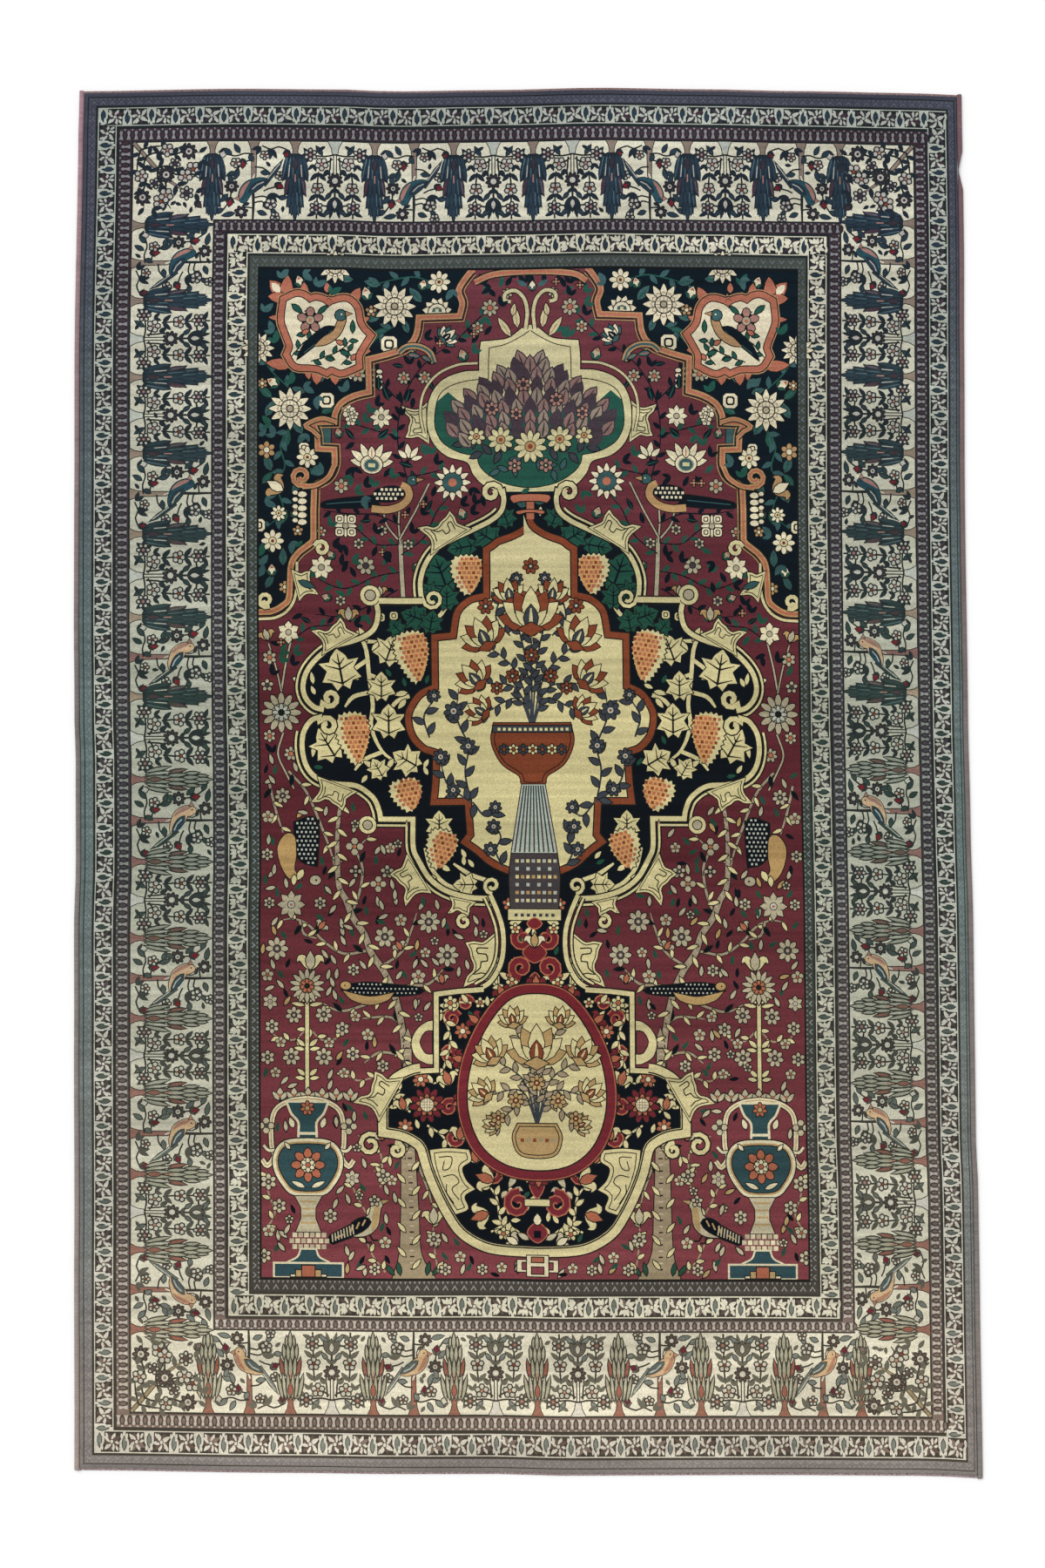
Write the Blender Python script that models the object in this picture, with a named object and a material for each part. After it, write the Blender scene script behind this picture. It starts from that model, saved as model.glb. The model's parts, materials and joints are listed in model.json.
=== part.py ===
"""A knotted persian rug lying flat on the floor.

The pieces are those that a weaver makes: the knotted pile body, an overcast cord along each
side, and a narrow woven strip that closes each end. Units are metres and +Z is up. +X runs
across the rug, +Y runs along it towards its upper end, and the origin is on the underside,
under the middle of the rug's box.

The rug is laid out as a true rectangle first. Four short tables then say how far each hand
made edge wanders out of that rectangle, and every piece is placed through them, so that the
pieces stay side by side along the uneven edges.
"""

import math
from collections import namedtuple

import bmesh
import bpy

# Driving dimensions
KNOT = 0.00134                      # pitch of one knot, across and along
KNOTS_ACROSS = 1026                 # from side to side, side cords included
KNOTS_ALONG = 1582                  # from end to end, woven ends included
SELVEDGE_WIDTH = 0.0087             # overcast cord along each side
END_WIDTH = 0.0040                  # woven strip across each end
FOUNDATION_THICKNESS = 0.0018       # warps and wefts under the pile
PILE_HEIGHT = 0.0042                # tufts above the foundation
SELVEDGE_THICKNESS = 0.0056
END_THICKNESS = 0.0020
PIECE_GAP = 0.0003                  # between neighbouring pieces

# Edge rounding and steps
PILE_SHOULDER = 0.0016              # rounding of the pile along its rim
END_SHOULDER = 0.0006
SHOULDER_SEGMENTS = 2
EDGE_STEP = 0.045                   # spacing of points along an edge
CORD_STEP = 0.030                   # spacing of sections along a side cord
CORD_CROWN_STEPS = 7                # points over the crown of a side cord
CORD_FOOT = 0.30                    # half of a cord's flat underside, as a share of its width

HALF_WIDTH = KNOTS_ACROSS * KNOT / 2
HALF_LENGTH = KNOTS_ALONG * KNOT / 2
BODY_THICKNESS = FOUNDATION_THICKNESS + PILE_HEIGHT

# How far an edge stands out of the rectangle, at points along it
Station = namedtuple("Station", "along outward")

LEFT_EDGE = (
    Station(-1.06, -0.0047), Station(-0.71, -0.0020), Station(-0.39, 0.0007),
    Station(-0.23, 0.0020), Station(-0.15, 0.0000), Station(0.01, 0.0013),
    Station(0.09, 0.0040), Station(0.25, 0.0060), Station(0.42, 0.0067),
    Station(0.66, 0.0080), Station(0.98, 0.0047), Station(1.06, 0.0033),
)
RIGHT_EDGE = (
    Station(-1.06, 0.0043), Station(-0.79, 0.0027), Station(-0.63, 0.0020),
    Station(-0.55, -0.0007), Station(-0.23, -0.0013), Station(-0.07, -0.0040),
    Station(0.09, -0.0060), Station(0.42, -0.0074), Station(0.66, -0.0060),
    Station(0.82, -0.0047), Station(1.06, -0.0060),
)
TOP_EDGE = (
    Station(-0.69, 0.0038), Station(-0.44, 0.0074), Station(-0.28, 0.0060),
    Station(-0.20, 0.0027), Station(-0.04, 0.0047), Station(0.12, 0.0080),
    Station(0.28, 0.0054), Station(0.44, 0.0020), Station(0.60, -0.0013),
    Station(0.69, -0.0047),
)
BOTTOM_EDGE = (
    Station(-0.69, -0.0056), Station(-0.36, -0.0013), Station(-0.20, 0.0007),
    Station(-0.04, 0.0007), Station(0.04, 0.0034), Station(0.36, 0.0027),
    Station(0.60, 0.0040), Station(0.69, 0.0080),
)

# Colour, roughness of each piece
PILE_COLOR = (0.300, 0.085, 0.080, 1.0)
SELVEDGE_COLOR = (0.360, 0.190, 0.180, 1.0)
END_COLOR = (0.330, 0.120, 0.120, 1.0)
WOOL_ROUGHNESS = 0.92
COTTON_ROUGHNESS = 0.88


def outward_at(stations, along):
    """Return how far an edge stands out at a place along it, easing between its stations."""
    if along <= stations[0].along:
        return stations[0].outward
    for near, far in zip(stations, stations[1:]):
        if along <= far.along:
            share = (along - near.along) / (far.along - near.along)
            eased = share * share * (3.0 - 2.0 * share)
            return near.outward + (far.outward - near.outward) * eased
    return stations[-1].outward


def place(across, along):
    """Return the real (x, y) of a place on the true rectangle, moved with the uneven edges."""
    right_share = (across + HALF_WIDTH) / (2 * HALF_WIDTH)
    top_share = (along + HALF_LENGTH) / (2 * HALF_LENGTH)
    shift_x = (right_share * outward_at(RIGHT_EDGE, along)
               - (1 - right_share) * outward_at(LEFT_EDGE, along))
    shift_y = (top_share * outward_at(TOP_EDGE, across)
               - (1 - top_share) * outward_at(BOTTOM_EDGE, across))
    return across + shift_x, along + shift_y


def steps_between(start, end, spacing):
    """Return evenly spaced values from start to end, both included."""
    count = max(1, round(abs(end - start) / spacing))
    return [start + (end - start) * index / count for index in range(count + 1)]


def rectangle_outline(left, right, bottom, top):
    """Return the uneven outline of a rectangle as (x, y) points, counter-clockwise."""
    along_bottom = [(across, bottom) for across in steps_between(left, right, EDGE_STEP)]
    up_right = [(right, along) for along in steps_between(bottom, top, EDGE_STEP)]
    along_top = [(across, top) for across in steps_between(right, left, EDGE_STEP)]
    down_left = [(left, along) for along in steps_between(top, bottom, EDGE_STEP)]
    sides = along_bottom[:-1] + up_right[:-1] + along_top[:-1] + down_left[:-1]
    return [place(across, along) for across, along in sides]


def add_object(name, mesh_builder, material):
    """Turn a finished bmesh into a named object with its material."""
    bmesh.ops.recalc_face_normals(mesh_builder, faces=mesh_builder.faces)
    mesh = bpy.data.meshes.new(name)
    mesh_builder.to_mesh(mesh)
    mesh_builder.free()
    mesh.materials.append(material)
    result = bpy.data.objects.new(name, mesh)
    bpy.context.scene.collection.objects.link(result)
    return result


def make_material(name, color, roughness):
    """Return a plain fibre material."""
    material = bpy.data.materials.new(name)
    material.use_nodes = True
    shader = material.node_tree.nodes["Principled BSDF"]
    shader.inputs["Base Color"].default_value = color
    shader.inputs["Roughness"].default_value = roughness
    shader.inputs["Metallic"].default_value = 0.0
    return material


def make_slab(name, outline, thickness, shoulder, material):
    """Extrude an outline upwards and round the rim of its upper face."""
    builder = bmesh.new()
    base = builder.faces.new([builder.verts.new((x, y, 0.0)) for x, y in outline])
    grown = bmesh.ops.extrude_face_region(builder, geom=[base], use_keep_orig=True)
    lid_verts = [item for item in grown["geom"] if isinstance(item, bmesh.types.BMVert)]
    bmesh.ops.translate(builder, verts=lid_verts, vec=(0.0, 0.0, thickness))
    lid = set(lid_verts)
    rim = [edge for edge in builder.edges if edge.verts[0] in lid and edge.verts[1] in lid]
    bmesh.ops.bevel(builder, geom=rim, offset=shoulder, segments=SHOULDER_SEGMENTS,
                    profile=0.5, affect="EDGES")
    return add_object(name, builder, material)


def cord_section():
    """Return the (inward, up) points of a side cord: a flat foot under a rounded crown."""
    half_width = SELVEDGE_WIDTH / 2
    waist = SELVEDGE_THICKNESS * 0.42
    foot = SELVEDGE_WIDTH * CORD_FOOT
    points = [(half_width + foot, 0.0)]
    for index in range(CORD_CROWN_STEPS):
        angle = math.pi * index / (CORD_CROWN_STEPS - 1)
        inward = half_width + half_width * math.cos(angle)
        up = waist + (SELVEDGE_THICKNESS - waist) * math.sin(angle)
        points.append((inward, up))
    points.append((half_width - foot, 0.0))
    return points


def make_selvedge(name, side, material):
    """Sweep the cord's section along one side edge; side is -1 for left and +1 for right."""
    builder = bmesh.new()
    section = cord_section()
    rings = []
    for along in steps_between(-HALF_LENGTH, HALF_LENGTH, CORD_STEP):
        ring = []
        for inward, up in section:
            x, y = place(side * (HALF_WIDTH - inward), along)
            ring.append(builder.verts.new((x, y, up)))
        rings.append(ring)
    for near, far in zip(rings, rings[1:]):
        for index in range(len(section)):
            after = (index + 1) % len(section)
            builder.faces.new((near[index], near[after], far[after], far[index]))
    builder.faces.new(rings[0])
    builder.faces.new(rings[-1])
    return add_object(name, builder, material)


def centre_box(pieces):
    """Move the pieces together so that their box is centred over the origin."""
    corners = [vertex.co for piece in pieces for vertex in piece.data.vertices]
    middle_x = (min(co.x for co in corners) + max(co.x for co in corners)) / 2
    middle_y = (min(co.y for co in corners) + max(co.y for co in corners)) / 2
    for piece in pieces:
        piece.location = (-middle_x, -middle_y, 0.0)


def build_rug():
    """Build every piece of the rug."""
    for leftover in list(bpy.data.objects):
        bpy.data.objects.remove(leftover, do_unlink=True)

    pile_wool = make_material("knotted_wool_pile", PILE_COLOR, WOOL_ROUGHNESS)
    overcast_wool = make_material("overcast_wool", SELVEDGE_COLOR, WOOL_ROUGHNESS)
    woven_end = make_material("woven_cotton_end", END_COLOR, COTTON_ROUGHNESS)

    body_half_width = HALF_WIDTH - SELVEDGE_WIDTH - PIECE_GAP
    body_half_length = HALF_LENGTH - END_WIDTH - PIECE_GAP
    body_outline = rectangle_outline(-body_half_width, body_half_width,
                                     -body_half_length, body_half_length)
    end_start = HALF_LENGTH - END_WIDTH
    top_outline = rectangle_outline(-body_half_width, body_half_width, end_start, HALF_LENGTH)
    bottom_outline = rectangle_outline(-body_half_width, body_half_width,
                                       -HALF_LENGTH, -end_start)

    pieces = [
        make_slab("pile_body", body_outline, BODY_THICKNESS, PILE_SHOULDER, pile_wool),
        make_selvedge("selvedge_left", -1, overcast_wool),
        make_selvedge("selvedge_right", 1, overcast_wool),
        make_slab("kilim_end_top", top_outline, END_THICKNESS, END_SHOULDER, woven_end),
        make_slab("kilim_end_bottom", bottom_outline, END_THICKNESS, END_SHOULDER, woven_end),
    ]
    centre_box(pieces)


build_rug()
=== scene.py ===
"""Looks of a finely knotted persian rug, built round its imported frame.

The rug is made as a weaver makes it. A cartoon, the full-size colour plan, is drawn first in
knots: flat shapes in painting order, each in one dye. The pile is then cut along every edge
of the cartoon, so that each tuft colour is its own patch of the mesh, and it is laid on a
woven foundation whose underside shows the same design. Overcast cords and flat-woven strips
close the sides and the ends.

Cartoon coordinates are knots from the middle of the rug, x to the right and y to the top.
"""
import json
import logging
import math
from contextlib import AbstractContextManager, contextmanager
from dataclasses import dataclass, field
from enum import Enum
from typing import Callable, Iterator, NamedTuple, Sequence

import bpy
import numpy as np
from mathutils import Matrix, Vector
from mathutils.geometry import delaunay_2d_cdt

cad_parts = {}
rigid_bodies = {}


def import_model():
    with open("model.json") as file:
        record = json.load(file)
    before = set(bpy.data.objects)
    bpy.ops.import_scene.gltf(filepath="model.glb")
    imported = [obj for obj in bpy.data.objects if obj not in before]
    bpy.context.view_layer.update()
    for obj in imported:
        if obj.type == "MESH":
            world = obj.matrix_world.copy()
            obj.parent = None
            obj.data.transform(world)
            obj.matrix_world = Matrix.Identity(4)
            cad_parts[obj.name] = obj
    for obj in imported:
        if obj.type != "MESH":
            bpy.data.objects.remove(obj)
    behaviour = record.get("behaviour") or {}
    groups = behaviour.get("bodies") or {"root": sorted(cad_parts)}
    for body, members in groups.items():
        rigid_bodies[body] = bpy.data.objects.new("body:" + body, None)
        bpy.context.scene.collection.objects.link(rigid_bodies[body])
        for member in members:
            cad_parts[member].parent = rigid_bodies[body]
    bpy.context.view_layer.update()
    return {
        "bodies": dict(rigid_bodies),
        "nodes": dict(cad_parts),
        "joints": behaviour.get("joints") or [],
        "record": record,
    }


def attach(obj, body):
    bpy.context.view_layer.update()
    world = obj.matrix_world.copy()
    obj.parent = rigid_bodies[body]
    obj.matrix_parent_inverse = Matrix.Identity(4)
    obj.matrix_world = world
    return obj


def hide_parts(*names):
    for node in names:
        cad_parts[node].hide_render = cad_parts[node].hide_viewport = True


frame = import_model()

log = logging.getLogger("rug")
Point = tuple[float, ...]

KNOT = 0.00134                      # one knot, across and along, in metres
ACROSS, ALONG = 1012.56, 1575.58    # knots in the pile between side cords and woven ends
SEED = 19                           # of every random draw
PALE_WARP = "d9cdb2"                # undyed cotton
THIN = 1e-9                         # length below which a line counts as a point


def srgb(value: str) -> tuple[float, float, float]:
    """Turn an sRGB hex colour into linear light.

    Args:
        value: Six hex digits.

    Returns:
        Linear red, green and blue.
    """
    channels = [int(value[i:i + 2], 16) / 255 for i in (0, 2, 4)]
    return tuple(c / 12.92 if c <= 0.04045 else ((c + 0.055) / 1.055) ** 2.4 for c in channels)


class Dye(Enum):
    """Dyed yarns, each as hex colours at the top, the middle and the bottom of the rug.

    The upper end kept its depth, and the lower end has faded and lost its dark outlines.
    """

    BLACK = ("16191b", "1b1b18", "2b2622")       # corroded iron black of field outlines
    OUTLINE = ("23292c", "2a2f2c", "4d463c")     # border outlines, brown at the lower end
    NAVY = ("0e1d27", "0b1219", "0c1116")
    SLATE = ("474a57", "677775", "8c847f")       # outer band
    LICHEN = ("474f49", "3e433d", "554b43")      # inner band
    CRIMSON = ("713b44", "5c282e", "985054")
    MAROON = ("44323c", "4a444a", "8d786c")
    IVORY = ("e9dfc3", "dcd2ac", "e4d8b3")       # field ivory
    CREAM = ("dad7c2", "b1b4a2", "f2e9cd")       # border ground
    STRAW = ("cac29b", "d3c893", "dfd09f")       # cartouche ground
    BONE = ("aca48d", "aba286", "d8cba7")        # flowers on the crimson
    MIST = ("b5bbb1", "bcbfb3", "e2dac6")        # pale parts of the narrow borders
    HAZE = ("8a8b8e", "8b9089", "d3c8b6")        # pale parts of the guard stripes
    FLECK = ("5f6470", "7f8d8a", "a39a91")       # flecks of the outer band
    TRUNK = ("8a6f68", "8a6a62", "a2705c")
    RUSSET = ("7c4438", "66574c", "ac6a56")
    TREE_PALE = ("8b8f93", "8a9182", "bab496")
    TREE_LIGHT = ("5a7680", "5f7774", "c3bc9c")
    CAMEL_PALE = ("c2a080", "c3a884", "ddb98c")
    SMOKE = ("bab6ae", "b2b6a6", "d6ceb6")       # grey petals of the borders
    APRICOT = ("cf9e68", "cd9a62", "d4a86e")      # ripe grapes
    CORAL = ("b5705c", "b06a4c", "a8624c")
    RUST = ("8a4630", "7e4129", "8a4a30")
    CAMEL = ("b08a68", "b3925e", "b99f72")
    BARK = ("8a7b70", "9b8c76", "a8946f")
    TEAL = ("446769", "2c4a48", "38505a")
    GREEN = ("285a50", "1f4a38", "31503f")
    TREE = ("2b3d4b", "33453f", "878b7f")        # cypress feathers
    TREE_DARK = ("222c36", "2c3534", "75705f")
    TREE_RED = ("4a3743", "554a45", "97705c")
    SALMON = ("a97c72", "96786a", "c08a6c")
    BIRD_BLUE = ("2b505c", "2a4550", "6a736c")
    PLUM = ("3b333e", "463f40", "6d5a50")
    INK = ("3a3e44", "3c4147", "3c4147")         # charcoal drawing on the ivory grounds
    RED = ("74252f", "74262b", "76303a")


DYES = list(Dye)
DYE_INDEX = {dye: i for i, dye in enumerate(DYES)}
DYE_COLORS = np.array([[srgb(stop) for stop in dye.value] for dye in DYES])

# where the colours of one stop give way to those of the next, in knots up the rug
UPPER_FADE = (640.0, 60.0)          # from the top's to the middle's
SLOW_FADE = (-100.0, -460.0)        # from the middle's to the bottom's, gently at first
LOWER_FADE = (-520.0, -700.0)       # and quickly near the end
SLOW_SHARE = 0.45                   # share of the lower change that the gentle part makes


def change(heights: np.ndarray, span: tuple[float, float]) -> np.ndarray:
    """Return how far each height has passed down through a span, from 0 to 1."""
    start, stop = span
    return np.clip((start - heights) / (start - stop), 0, 1)


def faded(dyes: np.ndarray, heights: np.ndarray) -> np.ndarray:
    """Return the yarn colour at each height of the rug.

    Args:
        dyes: Index of each dye.
        heights: Cartoon y of each place, in knots.

    Returns:
        Linear colours, one row a place.
    """
    stops = DYE_COLORS[dyes]
    upper = change(heights, UPPER_FADE)[:, None]
    lower = (SLOW_SHARE * change(heights, SLOW_FADE)
             + (1 - SLOW_SHARE) * change(heights, LOWER_FADE))[:, None]
    body = stops[:, 0] + (stops[:, 1] - stops[:, 0]) * upper
    return body + (stops[:, 2] - body) * lower


# ---------------------------------------------------------------- drawing in knots

def spline(points: Sequence[Point], closed: bool, step: float) -> np.ndarray:
    """Run a smooth Catmull-Rom line through points, about one point every step."""
    pts = np.array([p[:2] for p in points], float)
    if len(pts) < 3 and not closed:
        return pts
    if closed:
        before, after = np.roll(pts, 1, 0), np.roll(pts, -1, 0)
        ends, starts = after, pts
        far = np.roll(pts, -2, 0)
    else:
        starts, ends = pts[:-1], pts[1:]
        before = np.vstack([2 * pts[0] - pts[1], pts[:-2]])
        far = np.vstack([pts[2:], 2 * pts[-1] - pts[-2]])
    out = []
    for a, b, c, d in zip(before, starts, ends, far):
        count = max(2, math.ceil(math.dist(b, c) / step))
        t = (np.arange(count) / count)[:, None]
        out.append(0.5 * (2 * b + (c - a) * t + (2 * a - 5 * b + 4 * c - d) * t ** 2
                          + (3 * b - a - 3 * c + d) * t ** 3))
    if not closed:
        out.append(pts[-1:])
    return np.vstack(out)


def path(points: Sequence[Point], closed: bool = False, step: float = 3.0) -> np.ndarray:
    """Draw a line that is smooth but for its corners.

    Args:
        points: (x, y) places, with a third value where the line turns sharply.
        closed: Whether the last point leads back to the first.
        step: Spacing of the result's points.

    Returns:
        Points of the line.
    """
    turns = [i for i, p in enumerate(points) if len(p) > 2]
    if not turns:
        return spline(points, closed, step)
    if closed:
        points = list(points[turns[0]:]) + list(points[:turns[0] + 1])
        turns = [i for i, p in enumerate(points) if len(p) > 2]
    marks = sorted({0, len(points) - 1, *turns})
    pieces = [spline(points[a:b + 1], False, step) for a, b in zip(marks, marks[1:])]
    return np.vstack([p[:-1] for p in pieces] + ([] if closed else [pieces[-1][-1:]]))


def unit(steps: np.ndarray) -> np.ndarray:
    """Return each step at length 1."""
    return steps / np.maximum(np.linalg.norm(steps, axis=1, keepdims=True), THIN)


def normals(loop: np.ndarray, closed: bool) -> np.ndarray:
    """Return the mitred normal at each point of a line, to the right of its direction."""
    if closed:
        ahead, behind = np.roll(loop, -1, 0) - loop, loop - np.roll(loop, 1, 0)
    else:
        steps = np.diff(loop, axis=0)
        ahead, behind = np.vstack([steps, steps[-1:]]), np.vstack([steps[:1], steps])
    ahead, behind = unit(ahead), unit(behind)
    mean = unit(ahead + behind)
    mitre = 1 / np.clip((mean * ahead).sum(1, keepdims=True), 0.6, 1)
    return np.column_stack([mean[:, 1], -mean[:, 0]]) * mitre


def signed_area(loop: np.ndarray) -> float:
    """Return a loop's area, positive when it runs counter-clockwise."""
    x, y = loop.T
    return 0.5 * float(np.dot(x, np.roll(y, -1)) - np.dot(y, np.roll(x, -1)))


def grown(loop: np.ndarray, distance: float) -> np.ndarray:
    """Move a closed line outwards by a distance, or inwards where it is negative."""
    return loop + normals(loop, True) * distance * (1 if signed_area(loop) > 0 else -1)


def shifted(line: np.ndarray, distance: float) -> np.ndarray:
    """Move an open line to the right of its direction."""
    return line + normals(line, False) * distance


def ellipse(x: float, y: float, rx: float, ry: float, count: int = 12) -> np.ndarray:
    """Return an ellipse as a loop."""
    turn = np.arange(count) * 2 * math.pi / count
    return np.column_stack([x + rx * np.cos(turn), y + ry * np.sin(turn)])


def rectangle(x0: float, y0: float, x1: float, y1: float) -> np.ndarray:
    """Return a rectangle as a loop."""
    return np.array([(x0, y0), (x1, y0), (x1, y1), (x0, y1)], float)


def winding(points: np.ndarray, loop: np.ndarray) -> np.ndarray:
    """Tell which points a loop goes round."""
    count = np.zeros(len(points), int)
    x, y = points.T
    for (ax, ay), (bx, by) in zip(loop, np.roll(loop, -1, 0)):
        if ay == by:
            continue
        side = (bx - ax) * (y - ay) - (x - ax) * (by - ay)
        if by > ay:
            count += (y >= ay) & (y < by) & (side > 0)
        else:
            count -= (y >= by) & (y < ay) & (side < 0)
    return count != 0


@dataclass
class Shape:
    """One flat patch of the cartoon.

    Args:
        loop: Outline in knots.
        dye: Its yarn.
    """

    loop: np.ndarray
    dye: Dye
    low: np.ndarray = field(init=False)
    high: np.ndarray = field(init=False)

    def __post_init__(self) -> None:
        """Keep the shape's box."""
        self.low, self.high = self.loop.min(0), self.loop.max(0)


class Cartoon:
    """The colour plan: shapes in painting order, drawn through a stack of placings."""

    def __init__(self) -> None:
        """Start with an empty plan."""
        self.shapes: list[Shape] = []
        self.frames = [np.array([[1.0, 0, 0], [0, 1, 0]])]

    @contextmanager
    def at(self, x: float = 0, y: float = 0, turn: float = 0, size: float = 1,
           flip: bool = False, squash: float = 1) -> Iterator[None]:
        """Draw what follows moved, turned (degrees), scaled and maybe mirrored in x."""
        c, s = math.cos(math.radians(turn)) * size, math.sin(math.radians(turn)) * size
        sx = -1 if flip else 1
        with self.through(np.array([[c * sx, -s * squash, x], [s * sx, c * squash, y]])):
            yield

    @contextmanager
    def through(self, move: np.ndarray) -> Iterator[None]:
        """Draw what follows through a 2 by 3 matrix."""
        outer = self.frames[-1]
        linear = outer[:, :2] @ move[:, :2]
        shift = outer[:, :2] @ move[:, 2] + outer[:, 2]
        self.frames.append(np.column_stack([linear, shift]))
        yield
        self.frames.pop()

    def fill(self, loop: Sequence[Point] | np.ndarray, dye: Dye) -> None:
        """Fill a loop."""
        m = self.frames[-1]
        pts = np.asarray([p[:2] for p in loop], float) @ m[:, :2].T + m[:, 2]
        self.shapes.append(Shape(pts, dye))

    def shape(self, loop: Sequence[Point] | np.ndarray, dye: Dye, rim: Dye | None = Dye.BLACK,
              width: float = 1.2) -> None:
        """Fill a loop with an outline round it, width knots wide outside the loop."""
        loop = np.asarray([p[:2] for p in loop], float)
        if rim is not None:
            self.fill(grown(loop, width / self.scale()), rim)
        self.fill(loop, dye)

    def scale(self) -> float:
        """Return how much the placings enlarge what is drawn."""
        return math.sqrt(abs(np.linalg.det(self.frames[-1][:, :2])))

    def contour(self, loop: np.ndarray, dye: Dye, inset: float) -> None:
        """Fill an outlined loop that has a second thin outline inside it."""
        self.shape(loop, dye)
        self.fill(grown(loop, -inset / self.scale()), Dye.BLACK)
        self.fill(grown(loop, -(inset + 1.1) / self.scale()), dye)

    def stroke(self, points: Sequence[Point] | np.ndarray, width: float, dye: Dye,
               tip: float = 1.0, tail: float = 1.0) -> None:
        """Draw an open line.

        Args:
            points: Places along it.
            width: Its width, in knots before any placing.
            dye: Its yarn.
            tip: Width of its last end, as a share of width.
            tail: Width of its first end, as a share of width.
        """
        line = np.asarray([p[:2] for p in points], float)
        share = np.linspace(0, 1, len(line))
        bulge = np.minimum(tail + (1 - tail) * share * 3, tip + (1 - tip) * (1 - share) * 3)
        side = normals(line, False) * (width / 2 * np.minimum(bulge, 1))[:, None]
        self.fill(np.vstack([line + side, (line - side)[::-1]]), dye)

    def band(self, points: Sequence[Point] | np.ndarray,
             layers: Sequence[tuple[float, Dye]]) -> None:
        """Draw one line several times, each layer narrower than the one under it."""
        line = np.asarray([p[:2] for p in points], float)
        side = normals(line, False)
        for width, dye in layers:
            one, other = line + side * width / 2, line - side * width / 2
            self.fill(np.vstack([one, other[::-1]]), dye)

    def rings(self, loop: np.ndarray, layers: Sequence[tuple[float, Dye]]) -> None:
        """Fill one loop several times, each time moved outwards by a distance."""
        for distance, dye in layers:
            self.fill(grown(loop, distance), dye)

    def dye_at(self, points: np.ndarray) -> np.ndarray:
        """Return the index of the top dye at each point, or -1."""
        return top_dyes(self.shapes, points)


def top_dyes(shapes: Sequence[Shape], points: np.ndarray) -> np.ndarray:
    """Find which shape lies on top at each point.

    Args:
        shapes: Shapes in painting order.
        points: Places in knots.

    Returns:
        Dye indices, -1 where no shape lies.
    """
    order = np.argsort(points[:, 0], kind="stable")
    pts = points[order]
    found = np.full(len(pts), -1)
    for shape in reversed(shapes):
        first, last = np.searchsorted(pts[:, 0], (shape.low[0], shape.high[0]))
        part = pts[first:last]
        near = (found[first:last] < 0) & (part[:, 1] >= shape.low[1]) & (part[:,
                                                                              1] <= shape.high[1])
        if not near.any():
            continue
        index = first + np.flatnonzero(near)
        index = index[winding(pts[index], shape.loop)]
        found[index] = DYE_INDEX[shape.dye]
    result = np.empty(len(pts), int)
    result[order] = found
    return result


# ---------------------------------------------------------------- motifs

def scalloped(loop: np.ndarray, pitch: float, depth: float) -> np.ndarray:
    """Return a loop whose outline swells in small round lobes."""
    outward = 1 if signed_area(loop) > 0 else -1
    points = []
    for k, (x, y, heading) in enumerate(walk(np.vstack([loop, loop[:1]]), pitch / 2)):
        side, turn = outward if k % 2 else -outward, math.radians(heading)
        points.append((x + depth * math.sin(turn) * side, y - depth * math.cos(turn) * side))
    return np.array(points)


def walk(line: np.ndarray, spacing: float,
         start: float = 0.0) -> Iterator[tuple[float, float, float]]:
    """Walk along a line and yield x, y and heading in degrees at even spacing."""
    steps = np.diff(line, axis=0)
    lengths = np.linalg.norm(steps, axis=1)
    reach = np.concatenate([[0], np.cumsum(lengths)])
    for place in np.arange(start, reach[-1], spacing):
        i = min(int(np.searchsorted(reach, place, side="right")) - 1, len(steps) - 1)
        share = (place - reach[i]) / max(lengths[i], THIN)
        x, y = line[i] + steps[i] * share
        yield float(x), float(y), math.degrees(math.atan2(steps[i][1], steps[i][0]))


def curl(x: float, y: float, r: float, start: float, turns: float) -> np.ndarray:
    """Return a spiral that winds inwards from its rim to 0.3 of its radius.

    Args:
        x: Middle of the spiral.
        y: Middle of the spiral.
        r: Radius where it starts.
        start: Angle where it starts, in degrees.
        turns: How far it winds, positive for counter-clockwise.
    """
    inner = 0.3
    count = max(6, int(abs(turns) * 11))
    share = np.linspace(0, 1, count)
    turn = math.radians(start) + turns * 2 * math.pi * share
    radius = r * (1 - (1 - inner) * share)
    return np.column_stack([x + radius * np.cos(turn), y + radius * np.sin(turn)])


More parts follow.
